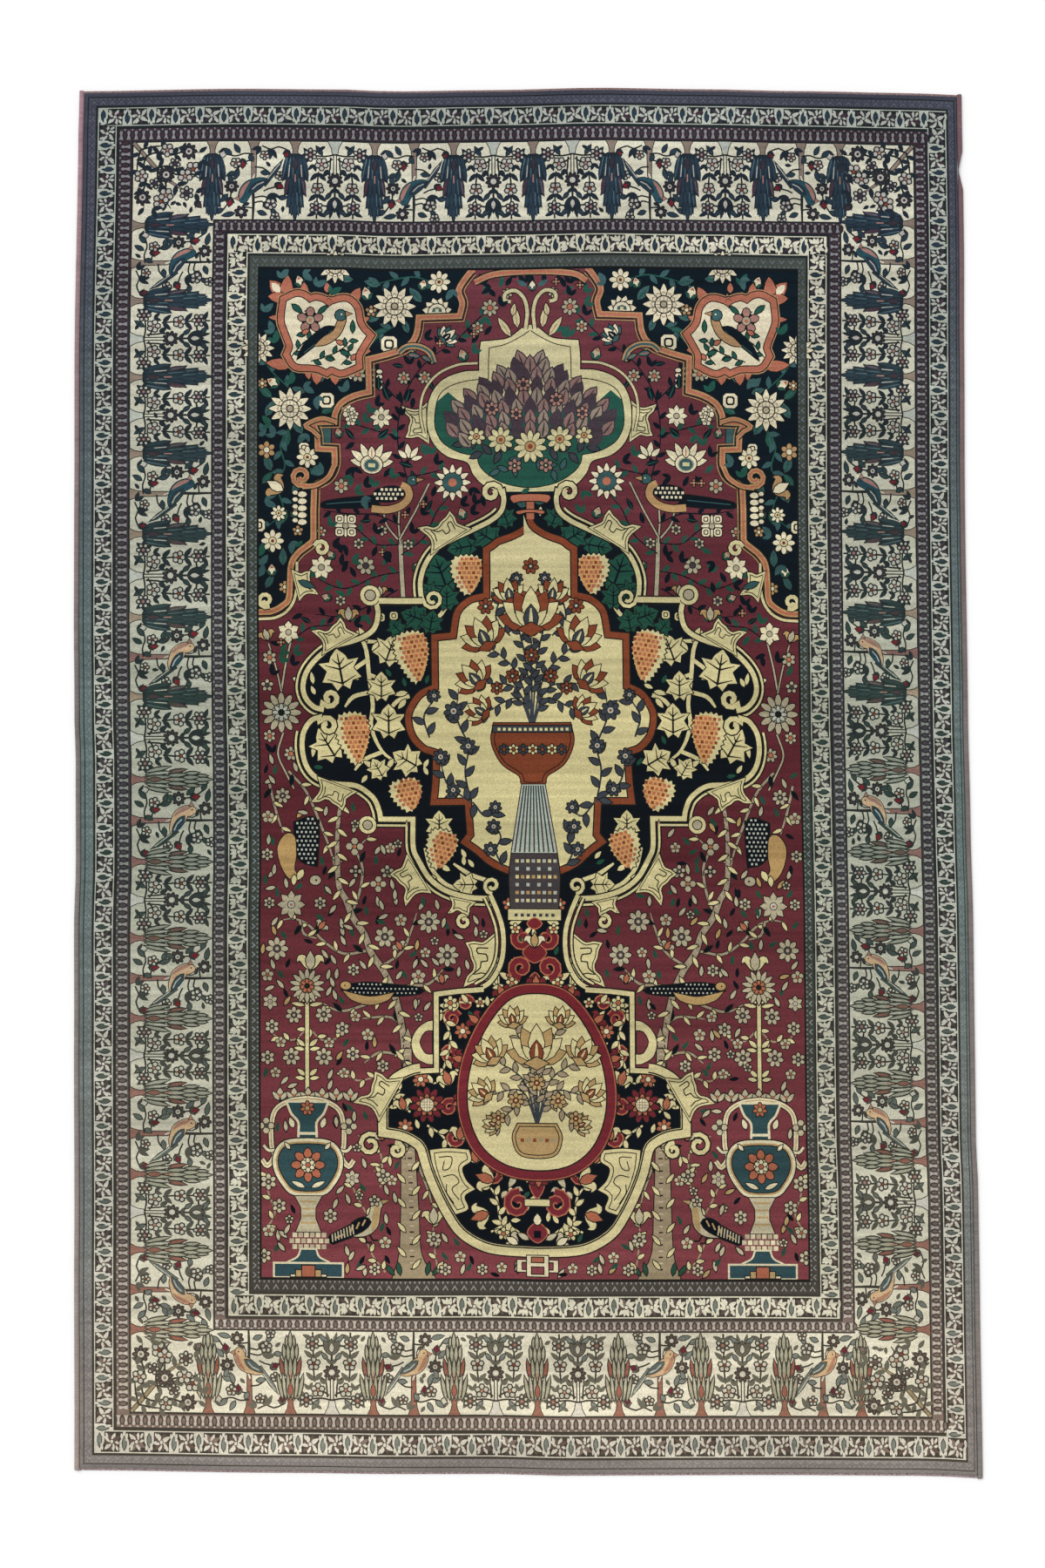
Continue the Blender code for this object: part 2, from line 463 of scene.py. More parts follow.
class Motifs(Cartoon):
    """The cartoon with the weaver's own vocabulary of flowers, leaves, birds and scrolls."""

    def each(self, draw: Callable[..., None], rows: Sequence[tuple[float, ...]],
             *rest: Dye | float | None) -> None:
        """Draw one motif at every row of numbers, the rest of what it needs the same for all."""
        for row in rows:
            draw(*row, *rest)

    def daisy(self, x: float, y: float, r: float, petals: float = 12, dye: Dye = Dye.IVORY,
              heart: Dye = Dye.CAMEL, eye: Dye | None = None, rim: Dye = Dye.BLACK,
              core: float = 0.32, sharp: float = 0.0) -> None:
        """Draw a flower of separate outlined petals round a heart.

        Args:
            x: Middle of the flower.
            y: Middle of the flower.
            r: Radius to the petal tips.
            petals: How many petals.
            dye: Yarn of the petals.
            heart: Yarn of the disc.
            eye: Yarn of a smaller disc, if any.
            rim: Yarn of the outlines.
            core: Radius of the disc as a share of r.
            sharp: 0 for round petals and 1 for pointed ones.
        """
        petals = int(petals)
        half = min(math.sin(math.pi / petals) * r * 0.68 - 0.5, r * 0.30)
        blunt = half * 0.66 * (1 - sharp)
        petal = np.array([(half * 0.55, r * core), (half, r * 0.66),
                          (blunt + half * 0.25 * sharp, r * 0.9), (0, r),
                          (-blunt - half * 0.25 * sharp, r * 0.9), (-half, r * 0.66),
                          (-half * 0.55, r * core)])
        with self.at(x, y):
            self.fill(ellipse(0, 0, r * 0.7, r * 0.7, 12), rim)
            for distance, yarn in ((1.1, rim), (-0.5 if rim is Dye.OUTLINE else 0.0, dye)):
                for k in range(petals):
                    with self.at(turn=k * 360 / petals):
                        self.fill(grown(petal, distance / self.scale()), yarn)
            self.shape(ellipse(0, 0, r * core, r * core, 9), heart, rim, 0.9)
            if eye is not None:
                self.fill(ellipse(0, 0, r * core * 0.5, r * core * 0.5, 6), eye)

    def dart(self, x: float, y: float, r: float, petals: float, dye: Dye, heart: Dye,
             eye: Dye | None = None) -> None:
        """Draw a flower of separate pointed petals."""
        self.daisy(x, y, r, petals, dye, heart, eye, sharp=1.0, core=0.24)

    def tile(self, x: float, y: float, r: float, dye: Dye, heart: Dye) -> None:
        """Draw a rounded square flower with a ring in it."""
        square = [(r, -r * 0.6), (r, r * 0.6), (r * 0.6, r), (-r * 0.6, r), (-r, r * 0.6),
                  (-r, -r * 0.6), (-r * 0.6, -r), (r * 0.6, -r)]
        with self.at(x, y):
            self.shape(square, dye)
            self.fill(np.array(square) * 0.62, Dye.BLACK)
            self.fill(np.array(square) * 0.38, heart)

    def specks(self, loop: np.ndarray, pitch: float, size: float, *dyes: Dye) -> None:
        """Lay rows of small knots of yarn inside a loop, taking the dyes in turn."""
        low, high = loop.min(0), loop.max(0)
        for row, y in enumerate(np.arange(low[1] + pitch / 2, high[1], pitch)):
            xs = np.arange(low[0] + pitch * (0.5 if row % 2 else 1.0), high[0], pitch)
            inside = winding(np.column_stack([xs, np.full(len(xs), y)]), loop)
            for k in np.flatnonzero(inside):
                self.fill(rectangle(xs[k] - size, y - size, xs[k] + size, y + size),
                          dyes[(row + k) % len(dyes)])

    def lattice(self, x: float, y: float, r: float, dye: Dye, lines: Dye) -> None:
        """Draw a round flower heart crossed by a lattice."""
        self.shape(ellipse(x, y, r, r, 12), dye, Dye.BLACK)
        for offset in (-0.42, 0.0, 0.42):
            half = r * math.sqrt(1 - offset * offset)
            self.stroke([(x + offset * r, y - half), (x + offset * r, y + half)], 0.9, lines)
            self.stroke([(x - half, y + offset * r), (x + half, y + offset * r)], 0.9, lines)

    def sunflower(self, x: float, y: float, r: float) -> None:
        """Draw the big flower of twelve pointed petals with its latticed heart."""
        petals = 12
        self.daisy(x, y, r, petals, Dye.IVORY, Dye.IVORY, core=0.42, sharp=0.6)
        for k in range(petals):
            with self.at(x, y, k * 360 / petals):
                self.stroke([(-2.4, r * 0.52), (0, r * 0.62), (2.4, r * 0.52)], 0.9, Dye.BARK)
        self.lattice(x, y, r * 0.40, Dye.IVORY, Dye.BARK)
        self.shape(ellipse(x, y, r * 0.14, r * 0.14, 8), Dye.BONE, Dye.BLACK)

    def dots(self, x: float, y: float, r: float, count: float = 6, dye: Dye = Dye.IVORY,
             heart: Dye = Dye.CORAL, rim: Dye = Dye.BLACK, thick: float = 0.9) -> None:
        """Draw a flower of round petals that stand apart."""
        count = int(count)
        size = r * (0.40 if count < 6 else 0.32)
        with self.at(x, y):
            for k in range(count):
                turn = math.radians(90 + k * 360 / count)
                self.shape(ellipse(math.cos(turn) * r * 0.62, math.sin(turn) * r * 0.62,
                                   size - thick + 0.9, size - thick + 0.9, 6), dye, rim, thick)
            self.shape(ellipse(0, 0, r * 0.24, r * 0.24, 5), heart, rim, 0.7)

    def leaf(self, x: float, y: float, length: float, width: float, turn: float, dye: Dye,
             rim: Dye | None = Dye.BLACK, vein: Dye | None = None, thick: float = 1.1) -> None:
        """Draw an almond leaf from its stalk; at turn 0 it points up."""
        w = width / 2
        with self.at(x, y, turn):
            self.shape([(0, 0), (w * 0.8, length * 0.22), (w, length * 0.48),
                        (w * 0.62, length * 0.78), (0, length), (-w * 0.62, length * 0.78),
                        (-w, length * 0.48), (-w * 0.8, length * 0.22)], dye, rim, thick)
            if vein is not None:
                self.stroke([(0, length * 0.1), (0, length * 0.5), (0, length * 0.86)],
                            max(0.9, width * 0.17), vein, tip=0.4)

    def bud(self, x: float, y: float, size: float, turn: float, dye: Dye = Dye.IVORY,
            tip: Dye | None = None, sepal: Dye | None = Dye.GREEN, rim: Dye = Dye.BLACK) -> None:
        """Draw a bud, size knots long, that rises from its sepals."""
        with self.at(x, y, turn, size / 10):
            self.shape([(-2.6, 0), (0, -1.4), (2.6, 0), (3.9, 3.4), (2.6, 7), (0, 10), (-2.6, 7),
                        (-3.9, 3.4)], dye, rim)
            if tip is not None:
                self.fill([(-2.2, 6.4), (2.2, 6.4), (0, 9.2)], tip)
            if sepal is not None:
                for sign in (-1, 1):
                    self.shape([(0, -1), (sign * 3, 0), (sign * 5.6, 4.6), (sign * 2.2, 3)], sepal,
                               rim, 0.8)

    def lily(self, x: float, y: float, size: float, turn: float, dye: Dye, heart: Dye) -> None:
        """Draw a flower with one upright and two rolled petals."""
        with self.at(x, y, turn, size / 10):
            for sign in (-1, 1):
                self.shape(path([(0, -2), (sign * 4, 0), (sign * 7, 4), (sign * 9, 3),
                                 (sign * 8, 7), (sign * 4, 7.5), (sign * 1.5, 3)], True, 3.4), dye)
            self.shape([(-2.6, 1), (0, -2), (2.6, 1), (3, 5), (0, 10.5), (-3, 5)], heart)

    def palmette(self, x: float, y: float, size: float, turn: float, outer: Dye, inner: Dye,
                 heart: Dye) -> None:
        """Draw a lotus palmette, size knots high: a fan of petals round a leaf-shaped heart."""
        petals, fan = 7, 150.0
        with self.at(x, y, turn, size / 10):
            for k in sorted(range(petals), key=lambda k: -abs(k - (petals - 1) / 2)):
                angle = (k / (petals - 1) - 0.5) * fan
                self.leaf(0, 0, 8.2 + 1.8 * math.cos(math.radians(angle)), 4.6, angle,
                          inner if k % 2 else outer)
            for sign in (-1, 1):
                self.leaf(0, -0.5, 6, 2.6, sign * 42, inner)
            self.leaf(0, -1, 6.4, 3.8, 0, heart, Dye.BLACK, inner)
            self.shape([(-3.4, -1), (0, -2.8), (3.4, -1), (0, 0.8)], outer)

    def sprig(self, points: Sequence[Point], stem: Dye, dye: Dye, spacing: float = 9.0,
              size: float = 7.0, width: float = 1.4, rim: Dye | None = Dye.BLACK,
              open_angle: float = 48.0, start: float = 4.0) -> None:
        """Draw a stem with leaves on alternate sides.

        Args:
            points: Places along the stem.
            stem: Its yarn.
            dye: Yarn of the leaves.
            spacing: Distance from leaf to leaf.
            size: Length of a leaf.
            width: Width of the stem.
            rim: Yarn of the leaves' outlines, if any.
            open_angle: How far the leaves lean out, in degrees.
            start: Where along the stem the first leaf stands.
        """
        line = path(points, step=4.0)
        self.stroke(line, width, stem, tip=0.5)
        for k, (x, y, heading) in enumerate(walk(line, spacing, start)):
            side = open_angle if k % 2 else -open_angle
            self.leaf(x, y, size, size * 0.46, heading - 90 + side, dye, rim)

    def scroll(self, line: Sequence[Point] | np.ndarray, dye: Dye, width: float,
               rim: Dye = Dye.BLACK) -> None:
        """Draw an outlined band."""
        self.band(line, [(width + 3.2, rim), (width, dye)])

    def spiral(self, x: float, y: float, r: float, start: float, turns: float, dye: Dye,
               width: float, rim: Dye = Dye.BLACK) -> None:
        """Draw an outlined spiral, which winds inwards as curl() says."""
        self.scroll(curl(x, y, r, start, turns), dye, width, rim)

    def claw(self, x: float, y: float, size: float, turn: float, dye: Dye,
             flip: bool = False) -> None:
        """Draw an acanthus crest on a band: a long hook and a blunt one, with a contour line."""
        with self.at(x, y, turn, size / 10, flip):
            loop = path([(-11, -2.4, 1), (-8, 1.6), (-7.4, 4.6), (-8.2, 7.6), (-9.6, 11.2, 1),
                         (-5.6, 9.6), (-3.6, 7.4), (-1.2, 7), (1.2, 8), (4, 8.4), (7, 9.8, 1),
                         (7.4, 6.4), (6.8, 3.6), (8, 1.4), (11, -2.4, 1)], True, 1.6)
            self.contour(loop, dye, 2.0)
            if size > 18:
                self.stroke(path([(-5.4, 1.2), (-4.6, 4.4), (-5, 7.2), (-2.6, 4.6), (-0.4, 4.2),
                                  (-0.2, 1.8), (2.4, 2.2), (2.8, 5.2), (4.8, 5.4), (4.6, 1.2)],
                                 step=1.6), 0.5, Dye.BLACK)

    def bird(self, x: float, y: float, size: float, turn: float, body: Dye, wing: Dye,
             breast: Dye) -> None:
        """Draw a standing bird that faces right, about 4 times size from beak to tail."""
        with self.at(x, y, turn, size / 10):
            self.shape([(-8, 3), (-21, 1.2), (-24, -1.6), (-21, -4.2), (-8, -4)], wing)
            self.stroke([(-9, -0.6), (-19, -1.5)], 0.9, breast)
            for foot in (-2, 2):
                self.stroke([(foot * 0.6, -5), (foot, -10), (foot + 3, -11)], 1.2, Dye.BLACK)
            self.shape(path([(-11, -1.5), (-5, -5.2), (2, -5.8), (8, -2.6), (11, 3), (13, 6.4),
                             (15.6, 8.4), (14.4, 11.6), (10.6, 12.2), (8, 9.6), (5, 5), (-2, 3.6)],
                            True, 3.2), body)
            self.fill(path([(3, -5), (8, -2), (11, 4), (12.6, 7), (9.6, 8.4), (6, 2)], True, 4),
                      breast)
            self.shape([(15, 10.6), (19.4, 9), (15, 8.2)], breast, width=0.9)
            self.fill(ellipse(12.4, 9.8, 0.9, 0.9, 5), Dye.BLACK)
            self.shape(path([(-13, -2.6), (-6, 3.8), (1.6, 4.6), (4.4, 0.6), (-2, -2.8)], True, 4),
                       wing)
            for k in range(3):
                self.stroke([(-9 + k * 4, -1 + k * 0.6), (-6 + k * 4, 2.4 + k * 0.3)], 1.0, breast)

    def grapes(self, x: float, y: float, w: float, h: float, turn: float) -> None:
        """Draw a bunch of grapes, stalk up, w wide and h high: ripe to one side, else pale."""
        with self.at(x, y, turn):
            outline = path([(-w * 0.42, h * 0.42), (0, h * 0.5), (w * 0.42, h * 0.42),
                            (w * 0.5, h * 0.1), (w * 0.3, -h * 0.26), (0, -h * 0.5),
                            (-w * 0.3, -h * 0.26), (-w * 0.5, h * 0.1)], True, 5)
            self.shape(scalloped(outline, 6.2, 1.5), Dye.STRAW)
            self.fill(outline * (0.74, 0.9) + (w * 0.12, 0), Dye.APRICOT)
            self.specks(outline * (0.86, 0.94) + (w * 0.06, 0), 5.4, 1.75, Dye.CORAL, Dye.RUST,
                        Dye.CORAL)

    def vine_leaf(self, x: float, y: float, r: float, turn: float, dye: Dye, vein: Dye) -> None:
        """Draw a five-lobed vine leaf."""
        with self.at(x, y, turn, r / 10):
            self.shape([(0, -7), (3, -9.4), (5, -5.4), (9.4, -4.4), (6.4, 0.4), (9.6, 4.6),
                        (4.6, 4.4), (3.4, 7), (0, 10.4), (-3.4, 7), (-4.6, 4.4), (-9.6, 4.6),
                        (-6.4, 0.4), (-9.4, -4.4), (-5, -5.4), (-3, -9.4)], dye)
            self.stroke([(0, -7), (0, 0), (0, 8)], 1.1, vein, tip=0.4)
            for tx, ty in ((7, 3.4), (7, -3.4), (3, 5.6)):
                for sign in (-1, 1):
                    self.stroke([(0, ty - 3), (sign * tx, ty)], 0.9, vein, tip=0.4)

    def cypress(self, dark: bool) -> None:
        """Draw one border tree: local x along the border, y inwards from its outer edge.

        Args:
            dark: True for the filled trees of the upper half; the lower ones are drawn in line.
        """
        rim = Dye.OUTLINE
        self.shape([(-6.4, -0.5), (6.4, -0.5), (3.4, 5), (2.2, 11), (3.4, 17), (-3.4, 17),
                    (-2.2, 11), (-3.4, 5)], Dye.BARK if dark else Dye.TRUNK, rim, 1.0)
        side = [(5, 14.5), (10, 18), (12.8, 30), (14.6, 46), (10.8, 43.5), (11, 54), (12.8, 63.5),
                (8.8, 61), (9, 68), (10, 76.5), (6.6, 74), (6.6, 84), (3.2, 81), (0.5, 92)]
        if dark:
            self.shape(side + [(-a, b) for a, b in side[::-1]], Dye.TREE_DARK, rim, 0.8)
        tiers = ((71, 15, (-3, 3)), (71, 20.5, (0,)), (57, 20, (-5.4, 5.4, -1.9, 1.9)),
                 (39, 24.5, (-7.4, 7.4, -3.7, 3.7, 0)), (16, 30, (-8.8, 8.8, -5.2, 5.2, -1.8, 1.8)))
        for base, length, places in tiers:
            for k, x in enumerate(places):
                outer = k < 2 and base < 60
                if dark:
                    dye = Dye.TREE_RED if outer and base == 39 else Dye.TREE
                    self.leaf(x, base, length, 4.6, x * -1.35, dye, Dye.TREE_DARK,
                              Dye.TREE_LIGHT if (k + base) % 2 == 0 else None, 0.8)
                else:
                    dye = Dye.RUSSET if outer and base == 39 else Dye.TREE_PALE
                    self.leaf(x, base, length * 0.94, 3.7, x * -1.35, dye, rim, None, 1.5)
        self.leaf(0, 19, 15, 5, 0, Dye.PLUM if dark else Dye.RUSSET, rim, None, 1.0)
        self.stroke([(0, 38), (0, 47)], 1.4, Dye.SALMON)
        for sign in (-1, 1):
            self.stroke([(sign * 6.6, 27), (sign * 7.6, 41)], 1.0, Dye.SMOKE)

    def puff(self, x: float, y: float, r: float, dye: Dye = Dye.SMOKE,
             heart: Dye = Dye.SALMON) -> None:
        """Draw a small border flower of outlined round petals."""
        self.dots(x, y, r * 1.06, 5, dye, heart, Dye.OUTLINE, 1.5)

    def blades(self, x: float, y: float, length: float, turns: Sequence[float],
               width: float = 5.4) -> None:
        """Draw a tuft of broad dark leaves from one point."""
        for turn in turns:
            self.leaf(x, y, length * 1.06, width * 1.16, turn, Dye.TREE_DARK, None)

    def stem_panel(self) -> None:
        """Draw the still panel between two trees: a stem with a rosette and a fan of leaves."""
        rim = Dye.OUTLINE
        self.shape([(-8, -0.5), (8, -0.5), (4, 7), (2.6, 15), (-2.6, 15), (-4, 7)], Dye.MIST, rim,
                   1.0)
        for side in (-1.7, 1.7):
            self.stroke([(side, 14), (side, 38)], 1.3, rim)
        self.stroke([(0, 52), (0, 68)], 2.4, rim)
        for sign in (-1, 1):
            for twig in (((0, 15), (sign * 12, 17), (sign * 24, 16)),
                         ((sign * 3, 20), (sign * 9, 24), (sign * 14, 22)),
                         ((sign * 5, 18), (sign * 6.4, 34), (sign * 12, 40)),
                         ((sign * 19, 35), (sign * 20.5, 52), (sign * 20.5, 70), (sign * 21, 90)),
                         ((sign * 6, 76), (sign * 14, 74.5), (sign * 20, 77))):
                self.stroke(path(twig, step=5), 2.0, rim)
            self.blades(sign * 30, 15, 10, (sign * -18, sign * -82, sign * -140), width=4.6)
            self.daisy(sign * 28.5, 15, 7.6, 6, Dye.SMOKE, Dye.PLUM, Dye.SALMON, rim, 0.42)
            self.leaf(sign * 15, 15, 12, 4.4, sign * -146, Dye.TREE, rim)
            self.leaf(sign * 11, 5, 11, 4.4, sign * -58, Dye.TREE_DARK, None)
            self.puff(sign * 15.5, 26, 7.2)
            self.blades(sign * 25, 26, 9, (sign * -40, sign * 20), width=4)
            self.blades(sign * 9, 32, 9, (sign * 22, sign * -30), width=3.6)
            self.blades(sign * 19.5, 36, 13, (sign * 44, sign * -44), width=5)
            self.puff(sign * 20, 55, 6.8, Dye.SMOKE, Dye.RUST)
            self.blades(sign * 20.5, 61, 13, (sign * 50, sign * -50), width=5)
            self.daisy(sign * 21.5, 77, 7.6, 6, Dye.SMOKE, Dye.PLUM, Dye.SALMON, rim, 0.42)
            self.blades(sign * 21, 82, 12, (sign * 62, sign * -66), width=4.6)
            self.blades(sign * 1, 54, 11, (sign * 46,), width=4)
            self.leaf(sign * 5, 60, 9, 4, sign * -38, Dye.TREE, rim)
            self.leaf(sign * 2.4, 76, 15, 4.6, sign * -14, Dye.TREE_DARK, None)
            self.leaf(sign * 4, 78, 13, 4.4, sign * -48, Dye.TREE, rim)
        self.daisy(0, 45.5, 8.6, 9, Dye.PLUM, Dye.SMOKE, Dye.MIST, rim, 0.4)
        cup = path([(0, 65), (5.6, 68), (8.6, 74), (8, 80), (3.4, 78), (0, 82), (-3.4, 78),
                    (-8, 80), (-8.6, 74), (-5.6, 68)], True, 4)
        self.shape(cup, Dye.TREE_DARK, rim, 1.0)
        self.leaf(0, 68, 10, 5, 0, Dye.SMOKE, rim, None, 0.9)

    def perched_bird(self, camel: bool) -> None:
        """Draw the bird of a border panel, its beak to the right.

        Args:
            camel: True for the camel birds of the lower borders, with one dark wing.
        """
        rim = Dye.OUTLINE
        body, wing = (Dye.CAMEL_PALE, Dye.BIRD_BLUE) if camel else (Dye.BIRD_BLUE, Dye.TREE)
        for foot in (-4, 0):
            self.stroke([(foot + 2, 46), (foot - 1, 38)], 1.7, Dye.CREAM)
        self.shape([(-9, 49), (-15.6, 42.6), (-23, 31), (-32.4, 20.4), (-28.6, 30.4), (-21, 41.4),
                    (-13, 52)], Dye.TREE, rim, 0.9)
        self.stroke([(-13, 46.6), (-22, 34.4), (-29, 25.4)], 1.0, Dye.SMOKE)
        loop = path([(-15, 44.4), (-8, 42.6), (0, 44), (7.6, 47), (13, 52.6), (16.2, 60),
                     (16.6, 66.4), (13.6, 71.4), (8.8, 71.4), (5.8, 67), (3.6, 62.4), (-3, 58),
                     (-10, 51.6)], True, 3.4)
        self.shape(loop, body, rim, 0.9)
        self.fill(path([(4, 46.4), (9, 49.4), (13.6, 55), (15.8, 62), (15.4, 67), (12, 63),
                        (9, 56)], True, 4), Dye.SALMON)
        self.shape([(15.8, 69.4), (21, 66.8), (16.4, 64.6)], Dye.SALMON, rim, 0.9)
        self.fill(ellipse(12, 67.6, 1.1, 1.1, 5), rim)
        self.shape(path([(-14, 45.4), (-6, 47), (1.6, 52), (4.8, 59), (-3, 57.4), (-10, 52.2)],
                        True, 4), wing, rim, 0.9)
        self.stroke([(-11, 47.4), (-4, 50.6), (1.4, 56)], 1.2, Dye.SMOKE)
        if camel:
            self.stroke(path([(4.4, 62), (3.6, 68.6), (7.6, 73.8), (13, 74)], step=4), 1.3, rim)

    def bird_panel(self, flip: bool, camel: bool) -> None:
        """Draw the panel with a bird in a flowering shrub.

        Args:
            flip: True where the bird heads the other way.
            camel: True where the birds are camel.
        """
        rim = Dye.OUTLINE
        with self.at(flip=flip):
            trunk = Dye.TRUNK if camel else Dye.BARK
            self.shape([(-6, -0.5), (6, -0.5), (3.2, 8), (2.4, 18), (2, 44), (-2, 44), (-2.4, 18),
                        (-3.2, 8)], trunk, rim, 1.0)
            self.stroke([(0.5, 58), (0, 74), (0.5, 91)], 3.2, rim, tip=0.7)
            twigs = (((0, 15), (10, 14), (20, 17), (30, 15)), ((0, 22), (10, 24), (21, 35)),
                     ((-1, 30), (-10, 31), (-17, 36)), ((-36, 9), (-27, 6), (-19, 9), (-9, 5)),
                     ((0, 78), (8, 77), (13, 80)), ((0, 72), (-9, 70), (-13, 74)),
                     ((0, 66), (-10, 64), (-16, 67), (-24, 78)),
                     ((24, 46), (25, 60), (27, 70), (35, 82)), ((-25, 53), (-17, 55), (-11, 58)))
            for twig in twigs:
                self.stroke(path(twig, step=5), 1.8, rim)
            self.daisy(24.5, 52.6, 7.4, 8, Dye.PLUM, Dye.SMOKE, Dye.MAROON, rim, 0.36)
            self.daisy(13.5, 82.4, 7, 7, Dye.PLUM, Dye.SMOKE, None, rim, 0.34)
            for x, y, size, turn, dye in ((-25, 50, 8.4, 60, Dye.RED), (25.5, 67, 9, -10, Dye.RED),
                                          (-37, 11, 8.4, -6, Dye.RED), (12.5, 22, 9, 0, Dye.RED),
                                          (33, 10, 9.6, -16, Dye.SMOKE),
                                          (-13, 72, 7, 20, Dye.MAROON)):
                self.bud(x, y, size, turn, dye, None, Dye.TREE_DARK, rim)
            for x, y, length, turn in ((21, 84, 14, -78), (-20, 78, 13, 28), (-5, 82, 10, 70),
                                       (-28, 66, 9, 96), (17, 33, 12, -20), (21, 36, 10, -64),
                                       (16, 13, 11, -150), (25, 15, 11, -128), (27, 40, 9, 20),
                                       (-8, 36, 10, 84), (34, 79, 10, -60), (29, 62, 11, -40),
                                       (5, 16, 8, 30)):
                self.leaf(x, y, length, 5, turn, Dye.TREE, rim, None, 1.0)
            self.blades(-19.5, 8, 13, (-40, -8, 26), width=4.8)
            self.blades(-8, 6, 11, (-30, -70), width=4.6)
            self.blades(-19, 60, 13, (-24, 4, 32, 62), width=4)
            self.blades(4, 72, 9, (-70,), width=4)
            self.puff(-19, 73, 6, Dye.SMOKE, Dye.PLUM)
            self.puff(20, 25, 5.6, Dye.SMOKE, Dye.RUST)
            self.puff(-24, 88, 5, Dye.SMOKE, Dye.PLUM)
            self.puff(-12, 16, 5, Dye.SMOKE, Dye.RUST)
            self.puff(-29, 40, 5, Dye.SMOKE, Dye.PLUM)
            self.perched_bird(camel)


# ---------------------------------------------------------------- the borders

Box = tuple[float, float, float, float]       # left, bottom, right, top, in knots


def inner_box(outer: Box, inner: Box, share: float) -> Box:
    """Return the box that lies share of the way from outer to inner."""
    return tuple(a + (b - a) * share for a, b in zip(outer, inner))


class Repeat(NamedTuple):
    """Size of one repeat of a stripe as it is drawn, in knots."""

    depth: float
    length: float


def ring_moves(outer: Box, inner: Box, repeat: Repeat) -> Iterator[np.ndarray]:
    """Yield where each repeat of a border stripe goes.

    Args:
        outer: The stripe's outer box.
        inner: Its inner box.
        repeat: The drawn repeat, stretched a little so that a whole number fits each side.

    Yields:
        A matrix for a repeat drawn with x along the stripe and y inwards.
    """
    l0, b0, r0, t0 = outer
    l1, b1, r1, t1 = inner
    for start, stop, edge, far, upright in ((l0, r0, t0, t1, False), (l0, r0, b0, b1, False),
                                            (b1, t1, l0, l1, True), (b1, t1, r0, r1, True)):
        count = round((stop - start) / repeat.length)
        stretch = (stop - start) / count / repeat.length
        inwards = [0, (far - edge) / repeat.depth, edge]
        for k in range(count):
            along = [stretch, 0, start + (k + 0.5) * (stop - start) / count]
            yield np.array([inwards, along] if upright else [along, inwards])


FLECKS = Repeat(9, 10.6)
HOURGLASS = Repeat(16, 8.66)
FLOWER = Repeat(18, 28.4)
PANEL = Repeat(91, 92)          # from tree to tree in the wide border
EVERYWHERE, NOWHERE = math.inf, -math.inf


@dataclass(frozen=True)
class Side:
    """One side of the tree border.

    Args:
        places: Where its trees stand along it, in knots.
        panels: What stands between them: B for a bird, S for a stem.
        outer: Its outer edge, in knots across it.
        inner: Its inner edge.
        upright: True for the left and the right side.
        turned: Birds below this place head the other way.
        camel: Birds below this place are camel.
        pale: Trees from this place down are drawn in line only.
    """

    places: tuple[float, ...]
    panels: str
    outer: float
    inner: float
    upright: bool
    turned: float
    camel: float
    pale: float

    def move(self, place: float) -> np.ndarray:
        """Return the matrix that stands a drawing at a place along this side."""
        along, inwards = [1, 0, place], [0, (self.inner - self.outer) / PANEL.depth, self.outer]
        return np.array([inwards, along] if self.upright else [along, inwards])


